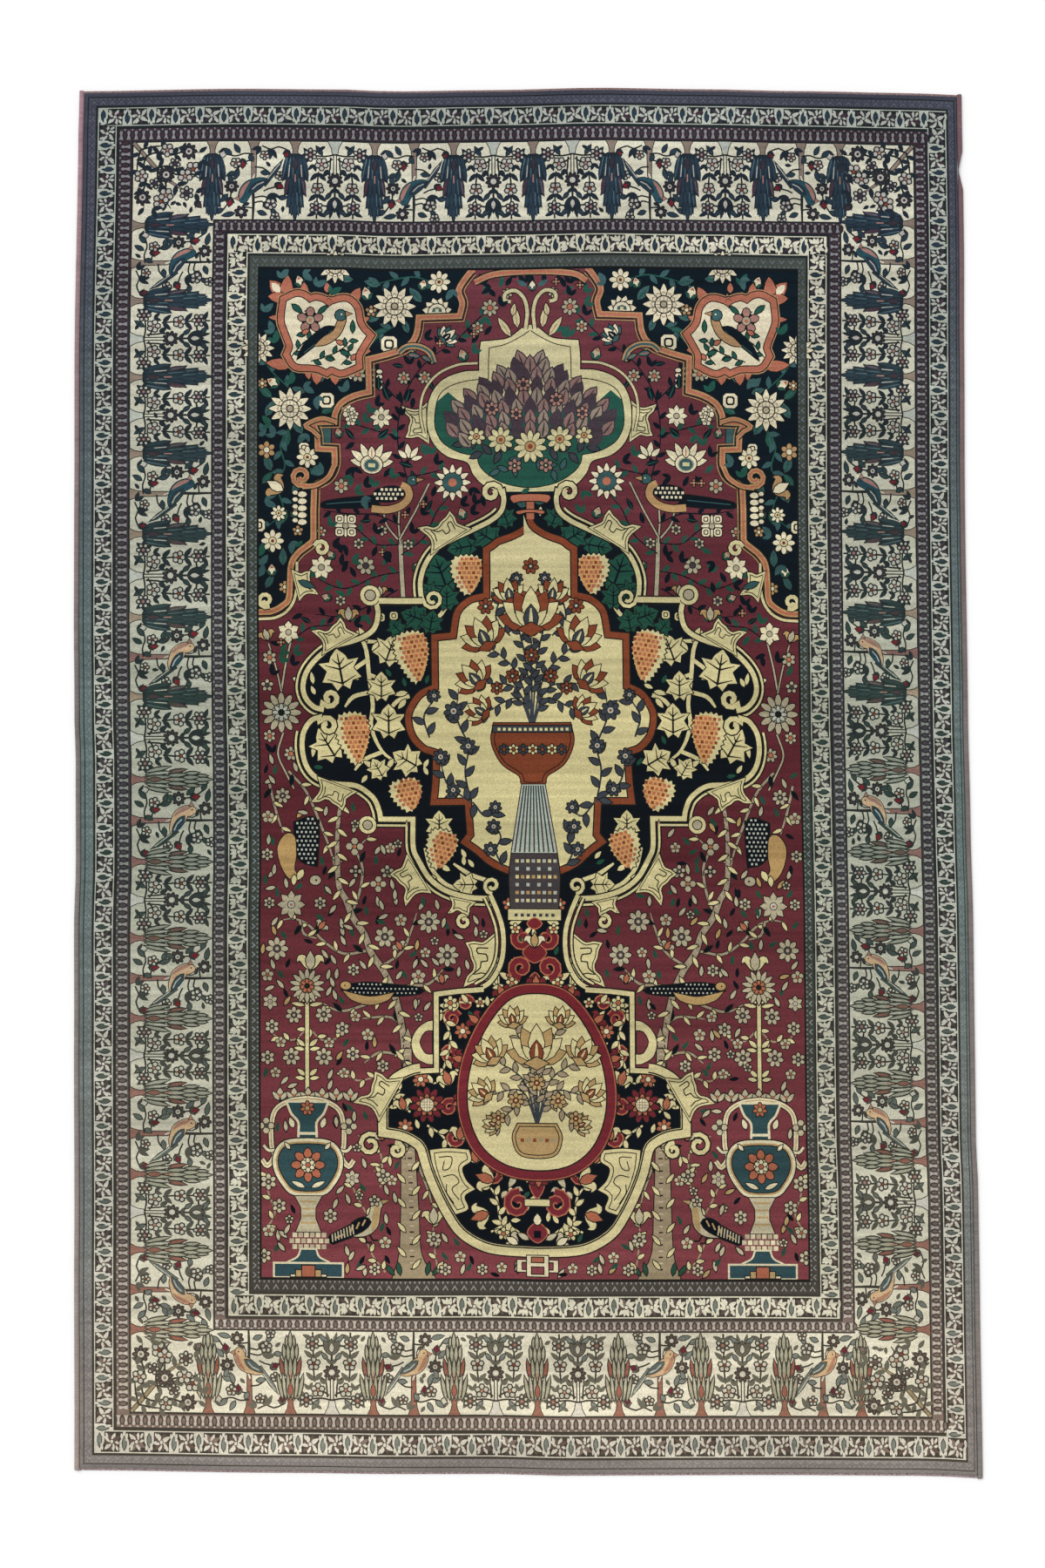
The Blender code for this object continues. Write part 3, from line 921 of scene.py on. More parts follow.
@dataclass
class Borders:
    """The stripes round the field, from the outer band to the field's edge.

    Args:
        rug: Outer box of the whole plan, a little beyond the pile.
        band: Outer box of the slate band.
        minor: Outer box of the outer narrow stripe.
        guard: Outer box of the outer guard stripe.
        main: Outer box of the tree border.
        inner_guard: Outer box of the inner guard stripe.
        inner_minor: Outer box of the inner narrow stripe.
        inner_band: Outer box of the grey-green band.
        field_edge: Outer box of the field.
        top_trees: Where the trees of the top border stand, in knots.
        bottom_trees: The same for the bottom border.
        left_trees: The same for the left border.
        right_trees: The same for the right border.
        end_panels: What stands between the trees of the top and the bottom.
        side_panels: What stands between the trees of the left and the right.
    """

    rug: Box = (-520, -800, 520, 800)
    band: Box = (-507, -788, 507.5, 788)
    minor: Box = (-491, -772, 495, 771)
    guard: Box = (-467, -744, 471, 747)
    main: Box = (-448, -724, 455, 728)
    inner_guard: Box = (-355, -632, 371, 637)
    inner_minor: Box = (-339, -617, 355, 621)
    inner_band: Box = (-313, -590, 331, 596)
    field_edge: Box = (-300, -572, 319, 579)
    top_trees: tuple[float, ...] = (-356.5, -260.5, -168.5, -77, 15, 106, 193.5, 281, 370)
    bottom_trees: tuple[float, ...] = (-361, -268, -174.5, -83, 11, 103, 196, 290, 377)
    left_trees: tuple[float, ...] = (631, 543, 454, 365, 272, 176, 85, -10, -104, -191, -282, -366,
                                     -458, -543, -632)
    right_trees: tuple[float, ...] = (637, 546, 459, 370, 278, 185, 94, 5, -89, -178, -264, -351,
                                      -438, -532, -627)
    end_panels: str = "BSBSSBSB"
    side_panels: str = "BSSBSBSBSBSBSB"

    def draw(self, c: Motifs) -> None:
        """Draw every stripe, outermost first."""
        c.fill(rectangle(*self.rug), Dye.SLATE)
        self.outer_band(c)
        self.minor_stripe(c, self.minor, self.guard, Dye.MIST)
        self.guard_stripe(c, self.guard, self.main)
        c.fill(rectangle(*self.main), Dye.CREAM)
        self.trees(c)
        self.corners(c)
        self.guard_stripe(c, self.inner_guard, self.inner_minor)
        self.minor_stripe(c, self.inner_minor, self.inner_band, Dye.CREAM)

    def outer_band(self, c: Motifs) -> None:
        """Draw the slate band with its thin dark lines and dim flecks."""
        self.stripes(c, self.band, self.minor, ((0.0, Dye.SLATE), (0.30, Dye.OUTLINE),
                                                (0.37, Dye.SLATE), (0.92, Dye.OUTLINE)))
        self.flecks(c, *(inner_box(self.band, self.minor, share) for share in (0.42, 0.88)), False)

    def stripes(self, c: Motifs, outer: Box, inner: Box,
                layers: Sequence[tuple[float, Dye]]) -> None:
        """Fill boxes one in the other, each a share of the way from outer to inner."""
        for share, dye in layers:
            c.fill(rectangle(*inner_box(outer, inner, share)), dye)

    def flecks(self, c: Motifs, outer: Box, inner: Box, turned: bool) -> None:
        """Draw a row of dots with a row of chevrons beside it, facing either way."""
        for move in ring_moves(outer, inner, FLECKS):
            with c.through(move), self.facing(c, FLECKS, turned):
                for x in (-2.65, 2.65):
                    c.fill([(x - 1.3, 0.6), (x + 1.3, 0.6), (x, 3.0)], Dye.FLECK)
                c.stroke([(-2.9, 8.2), (0, 4.6), (2.9, 8.2)], 1.2, Dye.FLECK)

    @staticmethod
    def facing(c: Motifs, repeat: Repeat, turned: bool) -> AbstractContextManager[None]:
        """Draw a repeat as it is, or turned to face the other edge of its stripe."""
        return c.at(0, repeat.depth, squash=-1) if turned else c.at()

    def guard_stripe(self, c: Motifs, outer: Box, inner: Box) -> None:
        """Draw a plum guard stripe with its row of small pale hourglasses."""
        self.stripes(c, outer, inner, ((0.0, Dye.OUTLINE), (0.13, Dye.MAROON), (0.87, Dye.OUTLINE)))
        for move in ring_moves(outer, inner, HOURGLASS):
            with c.through(move):
                c.fill([(4.33, 2.4), (6.9, 5.8), (6.9, 10.4), (4.33, 13.6), (1.8, 10.4),
                        (1.8, 5.8)], Dye.OUTLINE)
                c.fill([(4.33, 4.6), (5.9, 6.6), (5.9, 9.6), (4.33, 11.6), (2.8, 9.6), (2.8, 6.6)],
                       Dye.MAROON)
                c.fill([(2.9, 2.2), (5.8, 2.2), (4.33, 4.4)], Dye.HAZE)
                c.fill([(-1.0, 4.1), (1.0, 4.1), (1.8, 5.8), (0.75, 8), (2.3, 12.5), (-2.3, 12.5),
                        (-0.75, 8), (-1.8, 5.8)], Dye.HAZE)

    def minor_stripe(self, c: Motifs, outer: Box, inner: Box, pale: Dye) -> None:
        """Draw a narrow stripe of side-seen flowers and almond leaves on a pale forked ground."""
        self.stripes(c, outer, inner, ((0.0, Dye.OUTLINE), (0.05, pale), (0.95, Dye.OUTLINE)))
        ground = (inner_box(outer, inner, share) for share in (0.12, 0.88))
        for k, move in enumerate(ring_moves(*ground, FLOWER)):
            with c.through(move), self.facing(c, FLOWER, k % 2 == 1):
                self.minor_repeat(c, k % 3, pale)

    def minor_repeat(self, c: Motifs, turn: int, pale: Dye) -> None:
        """Draw one FLOWER repeat of the narrow stripe, in one of three colourings."""
        rim = Dye.OUTLINE
        c.fill([(-4.4, -0.6), (17.1, -0.6), (16.4, 4), (13, 9), (12.8, 18.6), (-8.5, 18.6),
                (-8.3, 15), (-4.6, 10)], rim)
        c.leaf(-9.9, 1.6, 12.4, 4.4, 0, Dye.TREE, rim, None, 1.0)
        heart = Dye.MAROON if turn == 0 else Dye.PLUM
        for k, (angle, length) in enumerate(((-80, 9), (-48, 11.6), (-15, 9.4), (17, 9.4),
                                             (48, 11.4), (84, 9.6), (120, 10.4), (154, 9.4),
                                             (-154, 9.4), (-118, 11.4))):
            light = k % 2 == turn % 2 or (pale is Dye.CREAM and k % 3 == 0)
            c.leaf(4, 9, length, 4.6, angle, pale if light else heart if k > 5 else Dye.PLUM, None)
        c.shape(ellipse(4, 9, 1.9, 1.9, 7), pale, rim, 0.8)
        c.each(c.leaf, ((-6.6, 17.4, 8, 3, 168), (15, 0.6, 8, 3, -8), (-3, 0.4, 6, 2.8, -30),
                        (11.4, 17.6, 6, 2.8, 152)), pale, None)

    def flecked_band(self, c: Motifs) -> None:
        """Draw the grey-green band with its dotted edge, and the dark line round the field."""
        edge, near = (inner_box(self.inner_band, self.field_edge, share) for share in (0.09, 0.84))
        rings = ((self.inner_band, edge, Dye.OUTLINE), (edge, near, Dye.LICHEN),
                 (near, self.field_edge, Dye.BLACK))
        for outer, inner, dye in rings:
            (l0, b0, r0, t0), (l1, b1, r1, t1) = outer, inner
            for strip in ((l0, b0, r0, b1), (l0, t1, r0, t0), (l0, b1, l1, t1), (r1, b1, r0, t1)):
                c.fill(rectangle(*strip), dye)
        self.flecks(c, inner_box(self.inner_band, self.field_edge, 0.2), near, True)

    def sides(self) -> Iterator[Side]:
        """Yield the four sides of the tree border."""
        (l0, b0, r0, t0), (l1, b1, r1, t1) = self.main, self.inner_guard
        yield Side(self.top_trees, self.end_panels, t0, t1, False, 0, NOWHERE, NOWHERE)
        yield Side(self.bottom_trees, self.end_panels, b0, b1, False, -200, EVERYWHERE, EVERYWHERE)
        yield Side(self.left_trees, self.side_panels, l0, l1, True, -500, 200, 40)
        yield Side(self.right_trees, self.side_panels, r0, r1, True, -500, 200, 40)

    def trees(self, c: Motifs) -> None:
        """Draw the row of trees on each side, with a panel between each two."""
        for side in self.sides():
            for one, other, kind in zip(side.places, side.places[1:], side.panels):
                middle, stretch = (one + other) / 2, abs(other - one) / PANEL.length
                with c.through(side.move(middle)), c.through(np.array([[stretch, 0, 0],
                                                                       [0, 1, 0]])):
                    if kind == "S":
                        c.stem_panel()
                    else:
                        c.bird_panel(middle < side.turned, middle < side.camel)
            for place in side.places:
                with c.through(side.move(place)):
                    c.cypress(place > side.pale)

    def corners(self, c: Motifs) -> None:
        """Draw the branching corners of the tree border."""
        l, b, r, t = self.main
        for x, y, sx, sy in ((l, t, 1, -1), (r, t, -1, -1), (l, b, 1, 1), (r, b, -1, 1)):
            with c.through(np.array([[sx, 0, x], [0, sy, y]])):
                self.corner(c)

    def corner(self, c: Motifs) -> None:
        """Draw one corner: x and y inwards from the outer corner of the tree border."""
        rim = Dye.OUTLINE
        trunk = path([(0, 0), (14, 16), (26, 30), (40, 44), (58, 56)], step=5)
        c.stroke(trunk, 5.4, rim, tip=0.4)
        c.stroke(trunk, 3.4, Dye.BARK, tip=0.4)
        for swap in (False, True):
            turn = np.array([[0, 1, 0], [1, 0, 0]]) if swap else np.array([[1.0, 0, 0], [0, 1, 0]])
            with c.through(turn):
                for twig in (((14, 16), (26, 12), (44, 15), (62, 10), (76, 13)),
                             ((26, 30), (40, 28), (52, 35), (66, 30)),
                             ((32, 38), (38, 50), (36, 64), (44, 78)),
                             ((8, 8), (22, 5), (34, 4))):
                    c.sprig(twig, rim, Dye.TREE_DARK, 10, 12, 2.2, None, 52)
                c.daisy(64, 11, 9, 8, Dye.PLUM, Dye.SMOKE, Dye.MAROON, rim, 0.42)
                c.puff(39, 9, 7.4)
                c.puff(69, 32, 8.4, Dye.SMOKE, Dye.RUST)
                c.daisy(48, 25, 6.4, 5, Dye.SMOKE, Dye.PLUM, rim=rim, core=0.42)
                c.blades(52, 6, 10, (-70, 40))
                c.blades(78, 22, 12, (-60, 10))
                c.blades(16, 26, 10, (-30, 30))
        c.daisy(38, 38, 9.4, 10, Dye.PLUM, Dye.SMOKE, Dye.MAROON, rim, 0.42)
        c.puff(38, 62, 8)
        c.puff(60, 40, 8)
        c.daisy(62, 60, 8, 6, Dye.SMOKE, Dye.PLUM, rim=rim, core=0.42)
        c.blades(50, 50, 13, (-100, 10))
        c.blades(72, 60, 12, (-20, -120))
        c.bud(73, 71, 8, -45, Dye.MAROON, None, Dye.TREE_DARK, rim)

    def ground_cover(self, c: Motifs, rng: np.random.Generator) -> None:
        """Fill the gaps of the tree border with small dark leaves.

        Args:
            c: The cartoon.
            rng: Source of the leaves' places and turns.
        """
        l, b, r, t = self.main
        pitch, length, width = 7.5, 8.4, 4.4
        near, far = 3, 4.2                     # how much bare ground a leaf needs round it
        places = np.stack(np.meshgrid(np.arange(l, r, pitch), np.arange(b, t, pitch)),
                          -1).reshape(-1, 2)
        l1, b1, r1, t1 = self.inner_guard
        keep = ((places < (l1, b1)) | (places > (r1, t1))).any(1)
        places = places[keep] + rng.uniform(-2, 2, (int(keep.sum()), 2))
        wanted = DYE_INDEX[Dye.CREAM]
        free = np.all([c.dye_at(places + step) == wanted
                       for step in ((0, 0), (far, 0), (-far, 0), (0, far), (0, -far), (near, near),
                                    (-near, -near), (near, -near), (-near, near))], 0)
        for (x, y), turn in zip(places[free], rng.uniform(0, 360, int(free.sum()))):
            back, stalk = math.radians(turn), 4.1
            c.leaf(x + stalk * math.sin(back), y - stalk * math.cos(back), length, width, turn,
                   Dye.TREE_DARK, None)


# ---------------------------------------------------------------- the field

@dataclass
class Field:
    """The crimson field with its corners, cartouches, medallion, trees and vases.

    Args:
        box: The field's box, in knots.
        axis: Where the two halves meet.
        other: Width of the right half as a share of the left one.
        rng: Source of the scattered leaves' places and turns.
    """

    box: Box = (-300, -572, 319, 579)
    axis: float = 12.5
    other: float = 0.982
    rng: np.random.Generator = field(default_factory=lambda: np.random.default_rng(SEED))

    def draw(self, c: Motifs) -> None:
        """Draw the whole field."""
        c.fill(rectangle(*self.box), Dye.CRIMSON)
        for paint in (self.upper_ground, self.lower_ground, self.spandrel, self.top_cartouche,
                      self.medallion, self.waist, self.pendant, self.vase):
            for _ in self.halves(c):
                paint(c)
        self.scatter(c)
        self.shrub(c)
        self.finials(c)
        self.bouquet(c)

    def halves(self, c: Motifs) -> Iterator[None]:
        """Let what follows be drawn on the left and again, mirrored, on the right."""
        yield
        flip = np.array([[-self.other, 0, self.axis * (1 + self.other)], [0, 1, 0]])
        with c.through(flip):
            yield

    def scatter(self, c: Motifs) -> None:
        """Fill what is left of the grounds with leaves and small flowers."""
        l, b, r, t = self.box
        pitch, margin, jitter = 11.5, 5, 3.5
        mostly_up = 0.7                        # share of the leaves within 45 degrees of upright
        xs = np.arange(l + margin, r - margin, pitch)
        ys = np.arange(b + margin, t - margin, pitch)
        places = np.stack(np.meshgrid(xs, ys), -1).reshape(-1, 2)
        places += self.rng.uniform(-jitter, jitter, places.shape)
        turns = self.rng.uniform(0, 360, len(places))
        turns = np.where(self.rng.uniform(0, 1, len(places)) < mostly_up, turns % 90 - 45, turns)
        ahead = np.column_stack([-np.sin(np.radians(turns)), np.cos(np.radians(turns))])
        probes = [c.dye_at(places + ahead * reach + np.array(aside))
                  for reach in (-1, 3.5, 8, 11.5) for aside in ((-1.6, 0), (1.6, 0))]
        picks = self.rng.uniform(0, 1, len(places))
        for k, (x, y) in enumerate(places):
            ground = DYES[probes[0][k]]
            if ground not in (Dye.CRIMSON, Dye.NAVY) or any(p[k] != probes[0][k] for p in probes):
                continue
            pick = int(picks[k] * 12)
            in_medallion = abs(x - self.axis) < 262 and -545 < y < 300
            if ground is Dye.NAVY and in_medallion:
                if pick < 6:
                    c.leaf(x, y, 11, 5, turns[k], Dye.STRAW if pick < 4 else Dye.GREEN, None)
            elif ground is Dye.NAVY:
                dye = Dye.GREEN if pick % 2 else Dye.TEAL
                c.leaf(x, y, 15, 8, turns[k], dye, None)
                c.leaf(x, y, 11, 5.6, turns[k] + 62, dye, None)
            elif y > 20:                       # the darker upper crimson
                dye = (Dye.NAVY, Dye.GREEN, Dye.NAVY)[pick % 3]
                c.leaf(x, y, 14, 6.2, turns[k], dye, None)
                if pick > 3:
                    c.leaf(x, y, 11, 5, turns[k] - 58, dye, None)
                elif pick == 0:
                    c.daisy(x, y + 3, 4.4, 4, Dye.CORAL, Dye.BONE)
            elif pick < 6:
                c.leaf(x, y, 12, 4.4, turns[k], Dye.BONE if pick else Dye.CAMEL, thick=1.3)
            elif pick < 11:
                c.leaf(x, y, 12, 4.8, turns[k], Dye.NAVY if pick % 2 else Dye.GREEN, None)
            else:
                c.daisy(x, y + 4, 4.8, 5, Dye.BONE, Dye.PLUM)

    def upper_ground(self, c: Motifs) -> None:
        """Draw the flowers, the bird and the slim tree over the medallion."""
        d = Dye
        for line, width in (([(-134, 200), (-136, 235), (-137, 268)], 4.6),
                            ([(-137, 262), (-139, 285), (-138, 306)], 1.8),
                            ([(-138, 268), (-120, 300), (-104, 332)], 1.8),
                            ([(-140, 268), (-153, 285), (-157, 306)], 1.8),
                            ([(-275, 90), (-270, 120), (-263, 150)], 1.8),
                            ([(-275, 92), (-281, 120), (-289, 146)], 1.4),
                            ([(-273, 44), (-280, 20), (-272, 0), (-262, -20)], 1.8)):
            c.stroke(path(line, step=6), width + 2, d.BLACK)
            c.stroke(path(line, step=6), width, d.BONE)
        for stem, leaf, points in ((d.NAVY, d.NAVY, ((-138, 306), (-128, 330), (-140, 380),
                                                     (-134, 430), (-110, 470), (-70, 500))),
                                   (d.NAVY, d.GREEN,
                                    ((-139, 262), (-165, 262), (-186, 278), (-204, 285))),
                                   (d.NAVY, d.NAVY,
                                    ((-138, 285), (-165, 296), (-196, 296), (-226, 300))),
                                   (d.NAVY, d.GREEN,
                                    ((-136, 250), (-110, 270), (-95, 300), (-80, 318))),
                                   (d.NAVY, d.GREEN, ((-138, 230), (-165, 225), (-200, 210),
                                                      (-230, 220), (-236, 232))),
                                   (d.NAVY, d.NAVY,
                                    ((-140, 210), (-175, 190), (-205, 178), (-235, 180))),
                                   (d.NAVY, d.GREEN, ((-128, 340), (-100, 345), (-84, 350))),
                                   (d.NAVY, d.GREEN,
                                    ((-137, 385), (-160, 392), (-190, 400), (-205, 404))),
                                   (d.NAVY, d.NAVY, ((-134, 425), (-150, 440), (-166, 462))),
                                   (d.NAVY, d.GREEN, ((-70, 500), (-50, 520), (-36, 533))),
                                   (d.NAVY, d.GREEN,
                                    ((-262, 150), (-240, 165), (-215, 168), (-198, 178)))):
            c.sprig(points, stem, leaf, 11, 12, 1.6, None)
        for y in range(444, 468, 6):
            c.shape(ellipse(-161, y, 3.6, 2.4, 6), d.IVORY)
            c.shape(ellipse(-168, y + 2, 2.6, 2.0, 5), d.IVORY)
        c.each(c.leaf, ((-162, 440, 18, 7, 0), (-150, 428, 20, 8, 22), (-131, 426, 18, 8, -18),
                        (-133, 468, 14, 6, 80), (-98, 440, 16, 6, 30), (-190, 382, 17, 7, 40),
                        (-163, 385, 17, 7, -50), (-118, 330, 20, 7, 20), (-108, 300, 16, 6, -30),
                        (-122, 352, 18, 7, 74), (-170, 290, 14, 6, 100), (-240, 170, 14, 6, 60)),
               d.NAVY, None, d.GREEN)
        self.long_tailed_bird(c)
        c.each(c.daisy, ((-34, 535, 10, 8), (-133, 455, 7.5, 7), (-109, 455, 7.5, 7),
                         (-205, 328, 8.5, 6), (-288, 130, 8, 6), (-241, 30, 6, 5), (-289, 40, 7, 6),
                         (-48, 512, 7, 6), (-265, 20, 8, 7), (-228, 275, 6, 5)), d.BONE, d.CORAL)
        c.each(c.daisy, ((-177, 237, 10.5, 7), (-291, 98, 7, 5), (-185, 262, 6, 6),
                         (-158, 278, 6, 6), (-206, 196, 6, 6), (-113, 402, 7, 6), (-128, 262, 6, 6),
                         (-14, 552, 6, 6)), d.BONE, d.PLUM)
        c.each(c.dart, ((-159, 409, 13, 8), (-228, 234, 14, 7), (-266, 159, 13, 6),
                        (-200, 282, 13, 8), (-254, 104, 8, 5)), d.IVORY, d.BONE)
        c.each(c.tile, ((-207, 290, 4.6), (-193, 290, 4.6), (-207, 275, 4.6), (-193, 275, 4.6)),
               d.IVORY, d.IVORY)
        c.daisy(-77, 333, 21, 12, d.IVORY, d.TEAL, core=0.54, sharp=0.5)
        c.fill(ellipse(-77, 333, 5, 5, 9), d.CORAL)
        for x, y, n in ((-197, 415, 8), (-194, 404, 6), (-190, 411, 5)):
            c.dots(x, y, n, 5, d.IVORY, d.BONE)
        with c.at(-170, 352):
            for side in (-1, 1):
                c.each(c.leaf, ((side * 5, 2, 20, 9, side * -78), (side * 5, 4, 23, 9, side * -54),
                                (side * 3, 6, 22, 8, side * -26)), d.IVORY, d.BLACK, d.STRAW)
            c.shape(ellipse(0, 2, 12.5, 10.5, 14), d.IVORY)
            c.shape(ellipse(0, 1, 8.4, 7, 12), d.TEAL, d.BONE, 1.4)
            c.fill(rectangle(-4, -1, 4, 3.4), d.STRAW)
            c.each(c.leaf, ((0, 9, 14, 8, 0),), d.IVORY, d.BLACK, d.CORAL)
        c.each(c.leaf, ((-127, 362, 17, 7, 8), (-125, 362, 15, 6, -34), (-130, 362, 13, 6, 46),
                        (-124, 360, 13, 5, -74)), d.IVORY)
        c.each(c.lily, ((-197, 176, 13, 0), (-290, 152, 11, 20), (-160, 205, 9, 10)), d.CAMEL,
               d.BONE)
        c.each(c.bud, ((-63, 475, 13, 20), (-214, 245, 10, 40), (-218, 198, 10, 70),
                       (-207, 385, 10, 15), (-64, 292, 12, 20), (-120, 232, 12, -30)), d.BONE,
               d.CORAL)
        c.palmette(-87, 499, 17, -50, d.TEAL, d.IVORY, d.NAVY)
        c.daisy(-275, 67, 23, 12, d.BONE, d.BONE, core=0.44)
        c.daisy(-275, 67, 10, 8, d.SMOKE, d.BLACK)

    def long_tailed_bird(self, c: Motifs) -> None:
        """Draw the bird over the medallion, heading for the axis."""
        d = Dye
        c.shape(path([(-226, 309), (-200, 314), (-168, 318, 1), (-160, 306, 1), (-195, 303),
                      (-226, 303)], True, 8), d.NAVY)
        c.stroke([(-222, 307), (-168, 312)], 1.2, d.TEAL)
        c.band(path([(-170, 303), (-152, 302), (-136, 307), (-127, 317), (-129, 327), (-136, 331)],
                    step=4), [(10.5, d.BLACK), (8.2, d.CAMEL)])
        wing = path([(-170, 312, 1), (-164, 325), (-142, 329), (-133, 320), (-146, 312)], True, 4)
        c.shape(wing, d.NAVY)
        c.specks(grown(wing, -1), 5.2, 1.5, d.IVORY)
        c.shape(ellipse(-123, 336, 6.6, 5.4, 10), d.TEAL)
        c.shape([(-118, 339), (-110, 337), (-118, 334)], d.CAMEL)
        c.fill(ellipse(-122, 337, 1, 1, 5), d.IVORY)

    def lower_ground(self, c: Motifs) -> None:
        """Draw the trees, birds and flowers beside the medallion's foot and the pendant."""
        d = Dye
        trunk = path([(-207, -26), (-212, -60), (-213, -95), (-211, -130), (-203, -145),
                      (-195, -165), (-181, -185), (-174, -205), (-160, -225), (-150, -245),
                      (-144, -265), (-139, -290), (-136, -320), (-134, -380), (-133, -430)], step=7)
        bole = [(-136, -300), (-139, -380), (-141, -440), (-142, -500), (-144, -545),
                (-152, -572, 1), (-103, -572, 1), (-119, -545), (-122, -500), (-125, -440),
                (-128, -380), (-129, -300)]
        branches = (
            ((-178, -203), (-205, -207), (-228, -193), (-245, -175), (-262, -168), (-278, -170)),
            ((-268, 0), (-250, -20), (-240, -40), (-230, -65), (-220, -92), (-214, -118)),
            ((-290, -15), (-283, -45), (-275, -70)),
            ((-146, -250), (-175, -262), (-208, -272), (-232, -262)),
            ((-141, -285), (-152, -278), (-168, -278), (-184, -280)),
            ((-165, -222), (-140, -205), (-128, -180), (-122, -160)),
            ((-198, -165), (-188, -140), (-184, -110), (-190, -90), (-176, -72)),
            ((-150, -245), (-128, -242), (-108, -240), (-90, -222)),
            ((-139, -420), (-160, -440), (-172, -452)),
            ((-124, -440), (-112, -470), (-106, -492)),
            ((-255, -170), (-250, -185), (-236, -190)),
            ((-141, -320), (-165, -318), (-182, -330)))
        for branch in branches:
            line = path(branch, step=6)
            c.stroke(line, 4.6, d.BLACK, tip=0.4)
            c.stroke(line, 2.8, d.BARK, tip=0.4)
            for n, (x, y, heading) in enumerate(walk(line, 15, 6)):
                c.leaf(x, y, 12, 4, heading - 90 + (50 if n % 2 else -50),
                       d.STRAW if n % 4 else d.NAVY)
        c.stroke(trunk, 9.4, d.BLACK, tail=0.5, tip=1)
        c.stroke(trunk, 7.0, d.BARK, tail=0.5, tip=1)
        c.shape(path(bole, True, 9), d.BARK)
        for n, (x, y, heading) in enumerate(walk(trunk, 7, 5)):     # bark marks and leaves
            with c.at(x, y, heading):
                c.fill([(-2.4, 2.4), (-0.8, 2.4), (2.4, -2), (0.8, -2)],
                       d.BLACK if n % 2 else d.BONE)
            if n % 2:
                c.leaf(x, y, 14, 4.4, heading - 90 + (56 if n % 4 == 1 else -56), d.STRAW)
        marks, spacing = 38, 6.9
        for n in range(marks):
            y = -306 - n * spacing
            c.fill(rectangle(-135.5 + n * 0.1, y - 0.8, -130.5 + n * 0.1, y + 0.8),
                   d.BLACK if n % 2 else d.BONE)
            if n % 2:
                side = -1 if n % 4 == 1 else 1
                c.leaf(-133 - side * 4, y, 14, 4.6, side * 40, d.STRAW)
        c.each(c.leaf, ((-150, -568, 15, 5, 40), (-143, -568, 15, 5, 12), (-113, -568, 15, 5, -12),
                        (-106, -568, 15, 5, -40)), d.GREEN)
        for points in (((-246, -290), (-262, -305), (-284, -300), (-288, -290)),
                       ((-246, -290), (-230, -305), (-212, -302), (-206, -288)),
                       ((-296, -520), (-285, -500), (-292, -478), (-294, -455)),
                       ((-178, -505), (-192, -480), (-200, -462)),
                       ((-160, -565), (-175, -545), (-185, -520)),
                       ((-100, -565), (-104, -540), (-106, -508)),
                       ((-165, -470), (-163, -440), (-170, -420), (-190, -412)),
                       ((-167, -345), (-190, -350), (-205, -340))):
            c.sprig(points, d.BARK, d.STRAW, 12, 10, 1.8)
        c.stroke([(-247, -368), (-247, -240)], 6.4, d.BLACK)
        c.stroke([(-247, -368), (-247, -240)], 4.2, d.STRAW)
        for y, reach in ((-345, 11), (-312, 12), (-262, 15)):
            for side in (-1, 1):
                c.each(c.leaf, ((-247 + side * 3, y, reach, 5, side * -48),
                                (-247 + side * 3, y - 4, reach, 4.4, side * -80)), d.STRAW)
        self.lower_birds(c)
        c.each(c.daisy, ((-275, -28, 9, 7), (-156, -113, 7.5, 5), (-192, -113, 7, 4),
                         (-290, -150, 6.5, 6), (-232, -150, 7, 6), (-108, -170, 13, 8),
                         (-158, -187, 12, 7), (-87, -208, 13, 8), (-281, -202, 13, 8),
                         (-262, -277, 9.5, 7), (-228, -276, 9.5, 7), (-265, -324, 10, 7),
                         (-228, -324, 10, 7), (-292, -325, 8, 6), (-195, -320, 8, 6),
                         (-207, -292, 8, 6), (-287, -290, 8, 6), (-292, -465, 9, 6),
                         (-280, -492, 8, 6), (-222, -503, 8, 6), (-162, -457, 8, 5),
                         (-105, -528, 8.5, 7), (-240, -215, 5, 5), (-194, -225, 7, 6),
                         (-161, -333, 7, 6), (-172, -485, 6.5, 5), (-297, -548, 8, 6),
                         (-92, -562, 7, 6), (-172, -562, 7, 6), (-50, -562, 6.5, 6),
                         (-293, -95, 7, 6)), d.BONE, d.PLUM, d.BONE)
        c.each(c.dots, ((-193, -85, 10, 4), (-152, -86, 6, 5), (-166, -127, 9, 4),
                        (-140, -168, 7, 5), (-120, -232, 8, 5), (-112, -205, 6, 5),
                        (-277, -308, 6, 5), (-222, -308, 6, 5), (-178, -298, 7, 5),
                        (-192, -278, 6, 5), (-283, -342, 6, 5), (-205, -342, 6, 5),
                        (-160, -532, 7, 5), (-75, -548, 6.5, 5), (-28, -560, 6, 5),
                        (-292, -520, 7, 5), (-88, -262, 6, 5), (-292, -232, 7, 5),
                        (-172, -56, 6.5, 6), (-152, -50, 6, 5), (-292, -52, 7, 5),
                        (-152, -462, 6, 5)), d.BONE, d.CORAL)
        c.each(c.dart, ((-265, -152, 16, 8), (-289, -262, 9, 6), (-197, -460, 9, 6)), d.BONE,
               d.SMOKE, d.CORAL)
        c.daisy(-247, -244, 20, 14, d.BONE, d.CAMEL, sharp=0.4, core=0.4)
        c.daisy(-247, -244, 8, 7, d.CORAL, d.BLACK)
        c.each(c.lily, ((-243, -222, 17, 0), (-105, -508, 15, 0)), d.STRAW, d.BONE)
        c.each(c.lily, ((-232, -178, 9, -40), (-140, -200, 9, 30), (-165, -372, 9, 20),
                        (-162, -415, 9, 30), (-93, -238, 9, 10)), d.BONE, d.CORAL)

